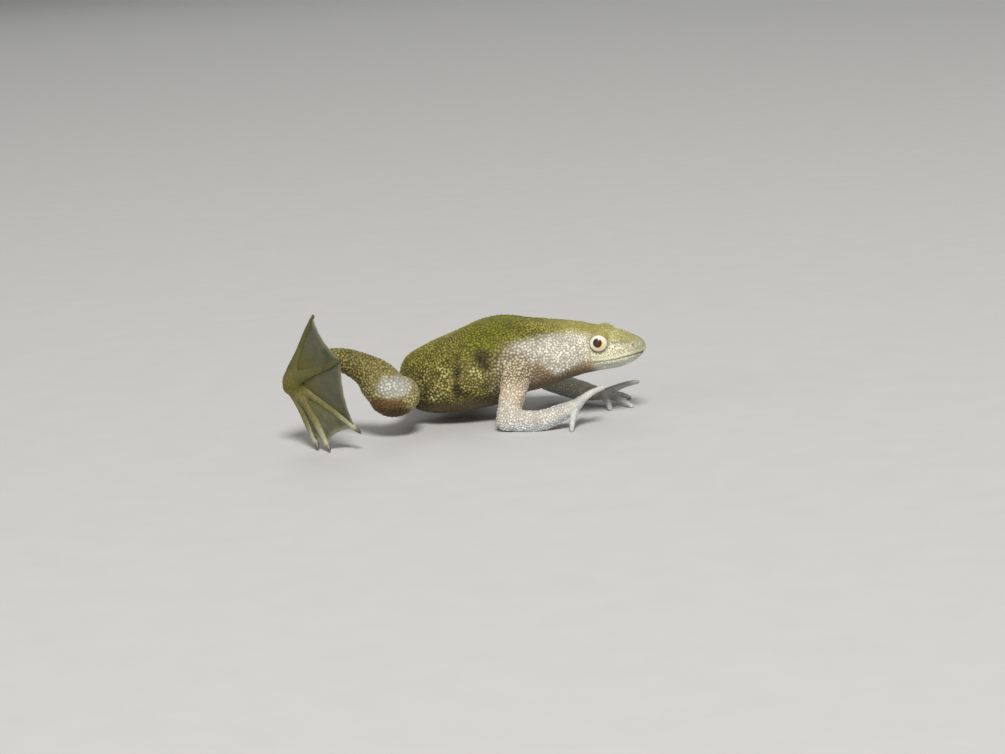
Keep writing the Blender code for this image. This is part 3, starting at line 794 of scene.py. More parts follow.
def flank_marks(points):
    x, _, z = points.T
    total = np.zeros(len(points))
    for across, height, half_length, half_height, amount in FLANK_MARKS:
        near = np.exp(-(((x - across) / half_length) ** 2) - ((z - height) / half_height) ** 2)
        total += amount * near
    return np.clip(total * (1 + 0.5 * ripple(points, 0.8, SEED + 3)), -1, 1)


def inwardness(points, leg):
    """0 at the knee's middle and 1 at the hip, along the thigh."""
    thigh = leg.knee - leg.hip
    return 1 - np.clip(((points - leg.hip) @ thigh) / (thigh @ thigh), 0, 1)


# Swells and dimples of the body's left side, mirrored to the right: place, radii and height.
BODY_SWELLS = (
    ((-1.2, 7.2, 6.6), (1.0, 3.0, 2.2), -0.55),
    ((-3.9, 7.6, 7.4), (1.9, 3.0, 2.2), 0.25),
    ((5.9, 5.4, 6.0), (0.9, 3.0, 1.6), -0.3),
    ((3.6, 6.0, 9.2), (2.2, 3.0, 2.0), 0.22),
    ((11.4, 5.0, 7.5), (1.5, 2.0, 0.9), 0.12),
    ((9.4, 5.1, 8.4), (0.7, 2.0, 2.4), -0.13),
    ((16.6, 2.0, 10.8), (1.5, 0.7, 0.9), 0.08),
    ((16.0, 3.1, 9.5), (1.5, 1.2, 0.3), -0.08),
    ((-8.3, 3.2, 10.2), (2.2, 1.4, 2.0), 0.18),
    ((8.6, 5.0, 6.9), (1.3, 1.6, 0.7), 0.16),
)


def body_folds(points, normals, zones):
    """The slow swells, dimples and folds of flank, shoulder, throat and joints, in millimetres outwards."""
    x, y, z = points.T
    body = zones.of("body")
    side = above(np.abs(normals[:, 1]), 0.25, 0.5)
    flank = body * side * ease((4.5 - np.abs(x + 4.5)) / 3.0) * below(z, 10.5, 4.0) * above(z, 2.0, 1.5)
    out = flank * (0.08 * flank_bands(points) + 0.17 * flank_marks(points))
    out += 0.05 * body * ripple(points, 1.5, SEED + 9) * below(x, 14.0, 3.0)
    for sign in (-1, 1):
        for place, radii, height in BODY_SWELLS:
            out += height * body * gaussian_at(points, mirrored(place, sign), radii)
    back = above(z, 8.5, 2) * below(x, 9, 4) * above(x, -12, 3)
    out += -0.1 * body * hill(y, 0.55) * back
    for leg in LEGS:
        thigh = zones.share[f"leg_thigh_{leg.side}"]
        out += -0.3 * thigh * above(inwardness(points, leg), 0.28, 0.2)
    return out


# Warts: their usual distance and height, their size as a share of it, and where none are set.
WART_SPACING = 0.32
WART_HEIGHT = 0.08
WART_SIZE = 0.54
LEAST_SPACING = 0.15


def scatter_warts(points, spacing, size, seed):
    """Warts set close by a seeded draw. Gives how high each point lies on one, and that wart's luck."""
    tree = kdtree.KDTree(len(points))
    for index, point in enumerate(points):
        tree.insert(point, index)
    tree.balance()
    rng = np.random.default_rng(seed)
    order = rng.permutation(len(points))
    draws = rng.random(len(points))
    free = spacing > 0
    dome, luck = np.zeros(len(points)), np.zeros(len(points))
    for index in order:
        if not free[index]:
            continue
        radius = size[index] * (0.8 + 0.4 * draws[index])
        for _, other, distance in tree.find_range(points[index], max(spacing[index], radius)):
            if distance < spacing[index]:
                free[other] = False
            if distance < radius:
                height = 1 - (distance / radius) ** 2
                if height > dome[other]:
                    dome[other] = height
                    luck[other] = draws[index]
    return dome, luck


def knee_frame(leg):
    """The directions forward, up and outwards in which a knee's markings, its painted highlight and shade
    among them, are laid out. On the right knee outwards points at the camera.
    """
    side = -1.0 if leg.side == "right" else 1.0
    outward = unit((0.205, 0.963 * side, 0.174))
    forward = unit((1.0, 0.0, -0.07))
    forward = unit(forward - outward * forward.dot(outward))
    return forward, unit((0.0, 0.0, 1.0) - outward * outward[2]), outward


# The upper edge of the pale side, and the one under it where the throat begins: x, share of the height.
PALE_EDGE = (
    (-0.5, 0.46),
    (1.6, 0.63),
    (2.8, 0.70),
    (5.2, 0.78),
    (7.5, 0.845),
    (9.8, 0.885),
    (12.1, 0.89),
    (15.3, 0.80),
    (17.7, 0.76),
    (19.4, 0.78),
)
THROAT_EDGE = (
    (-1.0, 0.52),
    (2.0, 0.43),
    (5.2, 0.42),
    (6.4, 0.41),
    (7.4, 0.27),
    (8.6, 0.14),
    (9.9, 0.18),
    (11.2, 0.27),
    (12.4, 0.33),
    (13.6, 0.28),
    (15.5, 0.05),
)


def knee_paint(points, zones, leg):
    """Masks of a knee's pale patch brightened by a painted highlight, the brown under it, the painted shade
    below that and the orange line on top.
    """
    a, b, c = ((points - leg.knee) @ axis for axis in knee_frame(leg))
    near = zones.of(f"leg_thigh_{leg.side}", f"leg_shank_{leg.side}") * above(c, -0.6, 0.8)
    rough = ripple(points, 0.55, SEED + 5)
    spot = 1 - np.hypot((a - 0.1) / 2.9, (b - 1.25) / 2.0) + 0.1 * rough
    # Pale skin brightened into a painted highlight on the knee's outer face.
    pale_and_highlight = near * ease(spot / 0.5) * ease((b + 0.65 + 0.12 * rough) / 1.1)
    low = ease((0.45 - b + 0.15 * rough) / 0.9)
    brown = near * low * ease((2.3 - a + 0.3 * rough) / 1.3) * above(a, -4.0, 1.6)
    # Painted shade under the knee.
    painted_shade = near * ease((-0.5 - b + 0.2 * rough) / 1.5) * below(a, 3.0, 1.2)
    orange = near * hill(b - 2.6, 0.35) * above(a, -0.8, 0.8)
    return pale_and_highlight, brown * (1 - pale_and_highlight), painted_shade, orange


def paint_amounts(points, normals, zones):
    """Soft masks of the frog's colour areas, and of its painted shade and highlight, each 0 to 1."""
    x, y, z = points.T
    _, top, _, bottom, _ = body_section(x).T
    height = (z - bottom) / (top - bottom)
    body = zones.of("body")
    wave = 0.04 * ripple(points, 1.5, SEED)
    masks = SimpleNamespace(body=body, height=height)
    masks.back = body * ease((height + wave - 0.58) / 0.22)
    masks.green = masks.back * hill(x + 0.6, 4.6, 4) * above(x, -6.5, 4.0)
    masks.head = body * ease((x - 4.5 + 12 * wave) / 7.5)
    throat_edge = from_table(THROAT_EDGE, x)
    pale = ease((x - 0.1 + 14 * wave) / 2.8) * ease((from_table(PALE_EDGE, x) - height - wave) / 0.19 + 0.5)
    masks.pale = body * pale * ease((height + 0.7 * wave - throat_edge) / 0.17 + 0.5)
    under = ease((throat_edge - height - 0.7 * wave) / 0.17 + 0.5)
    masks.throat = body * under * above(x, 0.2, 1.8) * below(x, 14.6, 1.5)
    # Painted shade over the lower flank and belly.
    masks.belly = body * ease((0.27 - height - wave) / 0.16) * below(x, 3.0, 2.0)
    masks.underside = body * above(-normals[:, 2], 0.55, 0.35)
    masks.jaw = body * above(x, 12.4, 1.6) * ease((mouth_height(x) - 0.08 - z) / 0.2)
    line = 10.28 - 0.207 * (x - 15.33)
    ahead = above(x, 15.1, 0.5) * below(x, 18.1, 0.7)
    masks.canthus = body * ahead * hill(z - line, 0.16) * above(np.abs(y), 0.6, 0.6)
    masks.arms = zones.of("arm_")
    masks.legs = zones.of("leg_")
    masks.shaded = sum(zones.share[f"arm_{part}_left"] for part in ("upper_arm", "forearm"))
    feet, hands = zones.of("leg_digits", "leg_palm"), zones.of("arm_digits", "arm_palm")
    masks.digits = np.clip(0.72 * feet + 0.6 * hands, 0, 1)
    masks.flank = body * ease((1.6 - x + 10 * wave) / 2.4) * below(height, 0.84, 0.2)
    masks.flank = masks.flank * ease((height + wave - 0.17) / 0.14)
    painted_shade, shoulders = [], []
    by_body = hill(np.maximum(zones.near["body"], 0), 0.7)
    for leg in LEGS:
        to_arm = np.maximum(zones.near[f"arm_upper_arm_{leg.side}"], 0)
        to_leg = np.maximum(zones.near[f"leg_thigh_{leg.side}"], 0)
        shoulders.append(body * hill(to_arm, 1.3) * ease((4.4 - x + 8 * wave) / 2.0))
        inner = zones.share[f"leg_thigh_{leg.side}"] * above(inwardness(points, leg), 0.3, 0.2)
        # Painted shade behind each arm, where each thigh meets the body, and inside the thigh.
        painted_shade.append(0.8 * body * (hill(to_arm, 0.7) * below(z, 9.0, 2.5) * below(x, 2.6, 1.2)))
        painted_shade.append(0.95 * body * hill(to_leg, 0.65))
        painted_shade.append(inner * (0.35 + 0.4 * by_body))
    masks.crease = np.max(painted_shade, axis=0)
    masks.shoulder = np.max(shoulders, axis=0)
    knees = [knee_paint(points, zones, leg) for leg in LEGS]
    for name, pair in zip(("white_knee", "brown_knee", "dark_knee", "orange_knee"), zip(*knees)):
        setattr(masks, name, np.max(pair, axis=0) * (1 - masks.crease))
    return masks


def mix(colour, other, amount):
    return colour * (1 - amount[:, None]) + np.array(other)[None, :] * amount[:, None]


# Each area's colour on its warts, and in the grooves between them.
OLIVE = ((0.28, 0.255, 0.045), (0.073, 0.064, 0.008))
OLIVE_BACK = ((0.215, 0.21, 0.008), (0.073, 0.075, 0.002))
FLANK = ((0.275, 0.236, 0.072), (0.105, 0.084, 0.018))
# Painted shade in the flank's hollows.
DIMPLE_SHADE = ((0.048, 0.038, 0.010), (0.026, 0.019, 0.005))
# Painted shade in the creases at arms and thighs.
CREASE_SHADE = ((0.058, 0.046, 0.012), (0.030, 0.023, 0.006))
# Painted shade over the lower flank and belly.
BELLY_SHADE = ((0.062, 0.044, 0.016), (0.036, 0.025, 0.009))
# Painted shade on skin that faces down.
UNDERSIDE_SHADE = ((0.17, 0.13, 0.078), (0.115, 0.086, 0.050))
SILVER = ((0.83, 0.805, 0.73), (0.385, 0.34, 0.29))
HEAD_TOP = ((0.50, 0.445, 0.105), (0.265, 0.232, 0.042))
HEAD_SIDE = ((0.92, 0.895, 0.68), (0.43, 0.40, 0.27))
SNOUT_TOP = ((0.57, 0.54, 0.25), (0.36, 0.335, 0.13))
SNOUT = ((0.49, 0.52, 0.35), (0.29, 0.31, 0.20))
THROAT = ((0.48, 0.345, 0.25), (0.31, 0.205, 0.145))
JAW = ((0.84, 0.87, 0.80), (0.50, 0.53, 0.47))
ARM = ((0.86, 0.78, 0.65), (0.41, 0.315, 0.24))
ARM_ROOT = ((0.60, 0.54, 0.39), (0.14, 0.102, 0.062))
# Painted light that lifts the shade on the far arm.
FAR_ARM_LIGHT = ((0.94, 0.90, 0.68), (0.60, 0.54, 0.38))
ELBOW = ((0.70, 0.77, 0.83), (0.43, 0.47, 0.51))
HAND = ((0.60, 0.635, 0.65), (0.44, 0.465, 0.475))
LEG = ((0.31, 0.265, 0.085), (0.095, 0.073, 0.019))
# Pale skin brightened into a painted highlight on the knee.
KNEE_PALE_AND_HIGHLIGHT = ((0.64, 0.65, 0.60), (0.33, 0.325, 0.285))
KNEE_RING = ((0.56, 0.50, 0.27), (0.25, 0.20, 0.08))
KNEE_BROWN = ((0.235, 0.14, 0.05), (0.125, 0.070, 0.020))
# Painted shade under the knee.
KNEE_SHADE = ((0.075, 0.045, 0.012), (0.045, 0.026, 0.007))
KNEE_ORANGE = ((0.42, 0.24, 0.05), (0.22, 0.11, 0.018))
TOE = ((0.23, 0.21, 0.085), (0.115, 0.103, 0.036))
TOE_TIP = ((0.44, 0.43, 0.31), (0.31, 0.30, 0.205))
# The foot's flat middle: its own olive, darkened further by painted shade.
PAD_AND_SHADE = ((0.13, 0.117, 0.022), (0.072, 0.064, 0.011))
OUTER_TOE = ((0.125, 0.12, 0.043), (0.085, 0.08, 0.027))
NOSTRIL_PINK = ((0.60, 0.42, 0.34), (0.50, 0.33, 0.26))
NOSTRIL_HALO = ((0.50, 0.54, 0.38), (0.34, 0.37, 0.25))
CANTHUS = ((0.30, 0.265, 0.11), (0.14, 0.12, 0.04))
LID = ((0.54, 0.49, 0.20), (0.30, 0.26, 0.09))
LIP = ((0.95, 0.94, 0.78), (0.68, 0.66, 0.50))
EYE_EDGE = ((0.38, 0.36, 0.26), (0.25, 0.23, 0.16))

# Colours of the materials themselves. A pair is the darkest and the palest that noise or luck gives.
CREAM = (0.64, 0.585, 0.27)
MOTTLE = ((0.70, 0.68, 0.60), (1.12, 1.12, 1.08))
WART_SHADES = ((0.80, 0.79, 0.76), (1.12, 1.12, 1.10))
# Pale tips of the fine grain, partly their own colour and partly painted glints.
GRAIN_TIP_AND_GLINT = (0.90, 0.86, 0.55)
# The mouth's dark line, and painted shade in the nostril pits and the socket and fold round each eye.
DARK_LINE_AND_SHADE = (0.18, 0.155, 0.11)
# The web's own dark olive, darkened further by painted shade.
WEB_TONES_AND_SHADE = ((0.066, 0.068, 0.032), (0.125, 0.125, 0.070))
WEB_SPECK = (0.30, 0.29, 0.19)
WEB_ROOT = (0.125, 0.112, 0.018)
WEB_EDGE = (0.30, 0.30, 0.20)
HAND_WEB = (0.46, 0.48, 0.47)
HORN = ((0.03, 0.022, 0.016), (0.075, 0.05, 0.035))
HORN_ROOT = (0.27, 0.23, 0.12)
IRIS_FIBRE = (0.60, 0.52, 0.34)
FLOOR = ((0.62, 0.615, 0.60), (0.64, 0.635, 0.62))

# The eye's colours from the gaze outwards, each with its share of the ball's radius.
PUPIL = ((0.0, (0.075, 0.038, 0.022)), (0.22, (0.035, 0.018, 0.012)), (0.37, (0.007, 0.006, 0.006)))
WARM_IRIS = (
    (0.40, (0.50, 0.22, 0.06)),
    (0.43, (0.86, 0.50, 0.15)),
    (0.52, (0.90, 0.70, 0.31)),
    (0.62, (0.88, 0.82, 0.63)),
)
COOL_IRIS = (
    (0.40, (0.34, 0.34, 0.33)),
    (0.43, (0.70, 0.69, 0.62)),
    (0.50, (0.82, 0.79, 0.68)),
    (0.60, (0.85, 0.81, 0.69)),
)
IRIS_EDGE = ((0.72, (0.80, 0.77, 0.66)), (0.76, (0.40, 0.37, 0.29)), (0.80, (0.12, 0.10, 0.07)))


def layered(both, layers):
    """Wart and groove colours, with the layers laid over them in turn by their masks."""
    for pair, amount in layers:
        both = [mix(colour, new, np.clip(amount, 0, 1)) for colour, new in zip(both, pair)]
    return both


def coarse_colours(points, normals, zones, masks):
    x, height = points[:, 0], masks.height
    down = above(-normals[:, 2], -0.1, 0.6)
    elbows = [hill(length_to(points, arm.elbow), 2.3, 4) for arm in ARMS]
    cool = np.maximum(np.maximum(*elbows) * (0.5 + 0.5 * down), zones.of("forearm") * (0.45 + 0.5 * down))
    marks = flank_marks(points)
    knees = [hill(length_to(points, leg.knee), 4.4, 6) for leg in LEGS]
    toes = [f"leg_digits_{side}" for side in SIDES]
    toe_along = np.max([zones.along[name] * zones.share[name] for name in toes], axis=0)
    layers = (
        (OLIVE, np.ones(len(points))),
        (FLANK, masks.body * below(height, 0.75, 0.3)),
        (OLIVE_BACK, masks.green),
        (HEAD_TOP, masks.head * above(height, 0.45, 0.3)),
        (SNOUT_TOP, 0.85 * masks.body * above(x, 12.5, 3.5) * above(height, 0.45, 0.3)),
        (SILVER, 0.95 * masks.pale),
        (HEAD_SIDE, masks.pale * above(x, 11.0, 3.5)),
        (SNOUT, 0.8 * masks.body * above(x, 17.7, 1.3)),
        # Painted shade in the flank's hollows.
        (DIMPLE_SHADE, np.clip(-1.7 * marks - 0.1, 0, 0.95) * masks.flank),
        # Painted shade over the lower flank and belly.
        (BELLY_SHADE, masks.belly),
        (THROAT, 0.85 * masks.throat),
        # Painted shade on skin that faces down.
        (UNDERSIDE_SHADE, 0.8 * masks.underside),
        (JAW, 0.92 * masks.jaw),
        (CANTHUS, 0.55 * masks.canthus),
        (ARM, masks.arms),
        # Painted light that lifts the shade on the far arm.
        (FAR_ARM_LIGHT, masks.arms * above(points[:, 1], -1.0, 2.0) * masks.shaded),
        (ARM_ROOT, 0.92 * zones.of("upper_arm") * above(points[:, 2], 4.8, 2.2)),
        (ARM_ROOT, 0.7 * masks.shoulder),
        (ELBOW, 0.9 * masks.arms * cool),
        (HAND, 0.8 * zones.of("arm_digits", "arm_palm")),
        (LEG, masks.legs),
        (KNEE_RING, 0.85 * zones.of("leg_thigh", "leg_shank") * np.maximum(*knees)),
        (KNEE_BROWN, masks.brown_knee),
        # Painted shade under the knee.
        (KNEE_SHADE, masks.dark_knee),
        (KNEE_ORANGE, 0.7 * masks.orange_knee),
        # Pale skin brightened into a painted highlight on the knee.
        (KNEE_PALE_AND_HIGHLIGHT, masks.white_knee),
        # Painted shade in the creases at arms and thighs.
        (CREASE_SHADE, masks.crease),
        (TOE, zones.of("leg_digits")),
        (TOE_TIP, above(toe_along, 0.62, 0.35)),
        # The foot's flat middle: its own olive, darkened further by painted shade.
        (PAD_AND_SHADE, zones.of("leg_palm")),
        (OUTER_TOE, sum(zones.outer[side] for side in SIDES)),
    )
    wart, groove = layered([np.zeros((len(points), 3))] * 2, layers)
    shade = 1 + 0.16 * ripple(points, 1.9, SEED + 13)[:, None]
    bands = np.clip(0.25 * flank_bands(points) + 0.9 * marks + 0.15, 0, 1) * masks.flank
    return wart * shade, groove * shade, bands


def wart_plan(points, zones, masks):
    """Wart spacing and height at each point, in millimetres."""
    arms, head, flank = masks.arms, masks.head, masks.flank
    spacing = WART_SPACING + 0.05 * flank - 0.05 * head - 0.04 * arms + 0.03 * masks.legs
    spacing -= 0.09 * zones.of("leg_digits")
    spacing *= 0.72 + 0.6 * lattice_noise(points, 1.0, SEED + 7)
    high = WART_HEIGHT + 0.03 * flank - 0.035 * head - 0.015 * arms
    smooth_part = np.clip(masks.digits + 0.4 * zones.of("tarsus"), 0, 1)
    high *= 1 - 0.9 * smooth_part
    high *= 1 - 0.5 * masks.underside - 0.35 * masks.jaw
    high *= 1 - 0.3 * masks.dark_knee
    spacing[smooth_part > 0.8] = 0
    return spacing, high


def store(obj, name, values):
    """Keeps a number or a colour for each point on the mesh, where the materials can read it."""
    kind, key = ("FLOAT_COLOR", "color") if values.ndim == 2 else ("FLOAT", "value")
    if values.ndim == 2:
        values = np.column_stack([values, np.ones(len(values))])
    kept = obj.data.attributes.new(name, kind, "POINT")
    kept.data.foreach_set(key, values.astype(np.float32).ravel())


def take(obj, name):
    """Reads an attribute's values and removes it from the mesh."""
    attribute = obj.data.attributes[name]
    if attribute.data_type == "FLOAT_COLOR":
        values = read(attribute.data, "color", 4)[:, :3]
    else:
        values = read(attribute.data, "value", 1)[:, 0]
    obj.data.attributes.remove(attribute)
    return values.astype(float)


def to_frame(obj):
    """From design millimetres to the frame's metres, and down to the floor where a point lies under it."""
    points = points_of(obj)
    points[:, 2] = np.maximum(points[:, 2], 0.0)
    set_points(obj, points * MM + OFFSET)
    obj.data.shade_smooth()


def sculpt_coarse(skin):
    """Joints, folds and colour areas, on the coarse skin. What the fine skin needs is stored on it."""
    smooth_junctions(skin)
    points, normals = points_of(skin), normals_of(skin)
    zones = Zones(points)
    masks = paint_amounts(points, normals, zones)
    values = [*coarse_colours(points, normals, zones, masks), *wart_plan(points, zones, masks)]
    values += [zones.near["body"], 1 - 0.85 * masks.digits - 0.1 * masks.dark_knee]
    for name, value in zip(("tint", "deep", "bands", "spacing", "high", "body_near", "grain"), values):
        store(skin, name, value)
    set_points(skin, points + normals * body_folds(points, normals, zones)[:, None])


def sculpt_fine(skin):
    """Mouth, nostrils, eye openings and warts, on the finer skin, with the colours that follow them."""
    points, normals = points_of(skin), normals_of(skin)
    lips, line, lip = mouth_shape(points, take(skin, "body_near"))
    nose, pit, pink, halo = nostril_shape(points)
    points = points + normals * (lips + nose)[:, None]
    points, ring, lid = shape_eye_openings(points)
    set_points(skin, points)
    normals = normals_of(skin)
    plain = np.clip(np.max([line, ring, pit, 0.6 * pink, 0.6 * lid, 0.65 * lip], axis=0), 0, 1)
    spacing, high = take(skin, "spacing"), take(skin, "high")
    spacing[spacing < LEAST_SPACING] = 0
    dome, luck = scatter_warts(points, spacing, WART_SIZE * spacing, SEED)
    lifted = high * (1 - plain) * dome * (0.45 + 1.1 * luck)
    set_points(skin, points + normals * lifted[:, None])
    spots = ((LIP, 0.95 * lip), (NOSTRIL_HALO, 0.6 * halo), (NOSTRIL_PINK, 0.9 * pink), (LID, 0.8 * lid))
    wart, groove = layered((take(skin, "tint"), take(skin, "deep")), spots)
    store(skin, "tint", wart)
    store(skin, "deep", groove)
    store(skin, "wart", dome * (1 - 0.6 * plain))
    store(skin, "luck", luck)
    # The mouth's dark line, and painted shade in the nostril pits and the socket and fold round each eye.
    store(skin, "line", np.max([line, 0.6 * pit, np.clip(ring * 1.2, 0, 1) * 0.8], axis=0))


class Paint:
    """A new material with its shader, and short calls for the nodes that feed it."""

    def __init__(self, name):
        self.material = bpy.data.materials.new(name)
        self.material.use_nodes = True
        self.tree = self.material.node_tree
        self.shader = self.tree.nodes["Principled BSDF"]
        self.place = self.add("TexCoord").outputs["Object"]

    def feed(self, sockets, values):
        """Sets numbers and colours on sockets, and links what comes from another node."""
        for name, value in values.items():
            if isinstance(value, bpy.types.NodeSocket):
                self.tree.links.new(value, sockets[name])
            elif isinstance(value, tuple) and len(sockets[name].default_value) == 4:
                sockets[name].default_value = (*value, 1.0)
            else:
                sockets[name].default_value = value

    def set(self, values):
        self.feed(self.shader.inputs, values)

    def add(self, kind, values=None, **properties):
        """A node with the given properties and inputs."""
        made = self.tree.nodes.new("ShaderNode" + kind)
        for name, value in properties.items():
            setattr(made, name, value)
        self.feed(made.inputs, values or {})
        return made

    def attribute(self, name, output="Fac"):
        return self.add("Attribute", attribute_name=name).outputs[output]

    def times(self, a, b):
        return self.add("Math", {0: a, 1: b}, operation="MULTIPLY").outputs[0]

    def plus(self, a, b):
        return self.add("Math", {0: a, 1: b}, operation="ADD").outputs[0]

    def mix(self, factor, a, b, blend="MIX"):
        made = self.add("Mix", data_type="RGBA", blend_type=blend)
        sockets = {socket.identifier: socket for socket in made.inputs}
        self.feed(sockets, {"Factor_Float": factor, "A_Color": a, "B_Color": b})
        return next(socket for socket in made.outputs if socket.identifier == "Result_Color")

    def remap(self, value, low, high, to_low=0.0, to_high=1.0):
        values = {"Value": value, "From Min": low, "From Max": high, "To Min": to_low, "To Max": to_high}
        return self.add("MapRange", values).outputs["Result"]

    def noise(self, millimetres, detail=3.0, roughness=0.55, place=None):
        """Noise whose main features are about this many millimetres across."""
        values = {"Scale": METRE / millimetres, "Detail": detail, "Roughness": roughness}
        values["Vector"] = self.place if place is None else place
        return self.add("TexNoise", values).outputs["Fac"]

    def cells(self, millimetres, feature="SMOOTH_F1"):
        values = {"Scale": METRE / millimetres, "Vector": self.place}
        return self.add("TexVoronoi", values, feature=feature).outputs["Distance"]

    def ramp(self, factor, stops):
        made = self.add("ValToRGB", {"Fac": factor})
        while len(made.color_ramp.elements) < len(stops):
            made.color_ramp.elements.new(0.5)
        for element, (at, colour) in zip(made.color_ramp.elements, stops):
            element.position = at
            element.color = (*colour, 1.0)
        return made.outputs["Color"]

    def bump(self, height, distance, strength):
        """Small relief of the given height in millimetres."""
        values = {"Strength": strength, "Distance": distance * MM, "Height": height}
        self.set({"Normal": self.add("Bump", values).outputs["Normal"]})


def wet(paint, roughness, subsurface, coat, radii=(0.9, 0.5, 0.3)):
    """The moist, slightly see-through surface of skin and webs. The radii are in millimetres."""
    paint.set(
        {
            "Roughness": roughness,
            "IOR": 1.4,
            "Subsurface Weight": subsurface,
            "Subsurface Radius": radii,
            "Subsurface Scale": MM,
            "Coat Weight": coat,
            "Coat Roughness": 0.16,
            "Coat IOR": 1.34,
        }
    )


def skin_material():
    """Warts over darker grooves in the stored colours, with mottling, pale grain tips that are partly
    painted glints, and dark lines that are partly painted shade.
    """
    paint = Paint("frog_skin")
    tint, deep = paint.attribute("tint", "Color"), paint.attribute("deep", "Color")
    wart, grain, bands, line, luck = map(paint.attribute, ("wart", "grain", "bands", "line", "luck"))
    creamy = paint.mix(paint.times(bands, paint.remap(luck, 0.05, 0.45, 0.3, 0.75)), tint, CREAM)
    mottle = paint.remap(paint.noise(2.2, 5.0, 0.68), 0.34, 0.66)
    shaded = paint.mix(1.0, creamy, paint.mix(mottle, *MOTTLE), "MULTIPLY")
    varied = paint.mix(1.0, shaded, paint.mix(luck, *WART_SHADES), "MULTIPLY")
    warted = paint.mix(paint.remap(wart, 0.04, 0.6), deep, varied)
    grained = paint.mix(grain, paint.mix(0.68, deep, shaded), warted)
    fine = paint.cells(0.14)
    # Pale tips of the fine grain, partly their own colour and partly painted glints.
    tip_and_glint = paint.times(paint.remap(fine, 0.5, 0.15), paint.times(grain, 0.2))
    tipped_and_glinted = paint.mix(tip_and_glint, grained, paint.mix(0.5, grained, GRAIN_TIP_AND_GLINT, "SCREEN"))
    # The mouth's dark line, and painted shade in the nostril pits and the socket and fold round each eye.
    lined = paint.mix(paint.times(line, 0.6), tipped_and_glinted, DARK_LINE_AND_SHADE)
    wet(paint, 0.42, 0.1, 0.035)
    roughness = paint.remap(paint.noise(0.9), 0.3, 0.7, 0.32, 0.5)
    paint.set({"Base Color": lined, "Roughness": roughness, "Specular IOR Level": 0.12})
    relief = paint.times(paint.remap(fine, 0.55, 0.1), paint.times(grain, 0.8))
    pores = paint.times(paint.noise(0.12, 2.0), 0.3)
    paint.bump(paint.plus(relief, pores), 0.025, 0.7)
    return paint.material


def web_material():
    """Thin dark skin with pale specks, greener at its root and paler at its edge, and pale on the hands. On
    the feet its own dark olive is darkened further by painted shade.
    """
    paint = Paint("frog_web")
    mottle = paint.remap(paint.noise(1.6, 4.0, 0.6), 0.3, 0.7)
    specks = paint.remap(paint.cells(0.24, "F1"), 0.16, 0.05)
    dotted = paint.mix(paint.times(specks, 0.2), paint.mix(mottle, *WEB_TONES_AND_SHADE), WEB_SPECK)
    rooted = paint.mix(paint.times(paint.attribute("root"), 0.9), dotted, WEB_ROOT)
    handed = paint.mix(paint.attribute("hand"), rooted, HAND_WEB)
    edged = paint.mix(paint.times(paint.attribute("edge"), 0.5), handed, WEB_EDGE)
    wet(paint, 0.4, 0.4, 0.12, (0.5, 0.5, 0.42))
    paint.set({"Base Color": edged, "Specular IOR Level": 0.25, "Alpha": 0.86})
    paint.bump(paint.plus(paint.noise(0.5), paint.times(specks, 0.4)), 0.03, 0.6)
    return paint.material


def eye_material():
    """Pupil, iris and dark edge by distance from the gaze. The iris is orange on one side of the pupil."""
    paint = Paint("frog_eye")
    angle, spin = paint.attribute("angle"), paint.attribute("spin", "Color")
    warm = paint.ramp(angle, (*PUPIL, *WARM_IRIS, *IRIS_EDGE))
    cool = paint.ramp(angle, (*PUPIL, *COOL_IRIS, *IRIS_EDGE))
    iris = paint.mix(paint.remap(paint.attribute("warm"), -0.5, 0.7), cool, warm)
    streaks = paint.remap(paint.noise(90.0, 4.0, 0.7, spin), 0.45, 0.7)
    fibres = paint.times(paint.remap(angle, 0.41, 0.5), streaks)
    paint.set(
        {
            "Base Color": paint.mix(paint.times(fibres, 0.25), iris, IRIS_FIBRE),
            "Roughness": 0.35,
            "IOR": 1.38,
            "Coat Weight": 0.8,
            "Coat Roughness": 0.06,
            "Coat IOR": 1.35,
            "Subsurface Weight": 0.05,
            "Subsurface Scale": 0.3 * MM,
        }
    )
    return paint.material


def claw_material():
    """Dark streaked horn, paler at its root."""
    paint = Paint("frog_claw")
    streaks = paint.noise(0.2)
    root = paint.remap(paint.attribute("along"), 0.75, 0.0)
    horn = paint.mix(root, paint.mix(streaks, *HORN), HORN_ROOT)
    paint.set({"Base Color": horn, "Roughness": 0.42, "Coat Weight": 0.15, "Coat Roughness": 0.2})
    paint.bump(streaks, 0.02, 0.5)
    return paint.material


def web_sheet(limb, first, reaches, notch, start, along=34, across=22):
    """The skin between two digits, thin, a little slack, with a hollow free edge."""
    pair = slice(first, first + 2)
    bends, tips, (near, far) = digit_bends(limb)[pair], limb.digits[pair], reaches[pair]
    lift = unit(limb.back)
    points, edge, root = [], [], []
    for r in range(along):
        for c in range(across):
            t = c / (across - 1)
            between = 4 * t * (1 - t)
            reach = near * (1 - t) + far * t - notch * 4 * t * (1 - t)
            at = start + (reach - start) * r / (along - 1)
            ends = [bezier(limb.hub, bend, tip, at) for bend, tip in zip(bends, tips)]
            slack = -WEB_SLACK * between * at
            slack += WEB_WAVES[0] * between * math.sin(9 * t + 2) * math.sin(7 * at)
            slack += WEB_WAVES[1] * between * math.sin(31 * t + 3 * at) * at
            points.append(ends[0] * (1 - t) + ends[1] * t + slack * lift)
            edge.append(above(r / (along - 1), 0.9, 0.1))
            root.append(below(at, 0.72, 0.5))
    sheet = new_object("web", points, grid_faces(along, across))
    store(sheet, "edge", np.array(edge, float))
    store(sheet, "root", np.array(root, float))
    solid = sheet.modifiers.new("solid", "SOLIDIFY")
    solid.thickness = WEB_THICK
    solid.offset = 0.0
    take_modifiers(sheet)
    return sheet


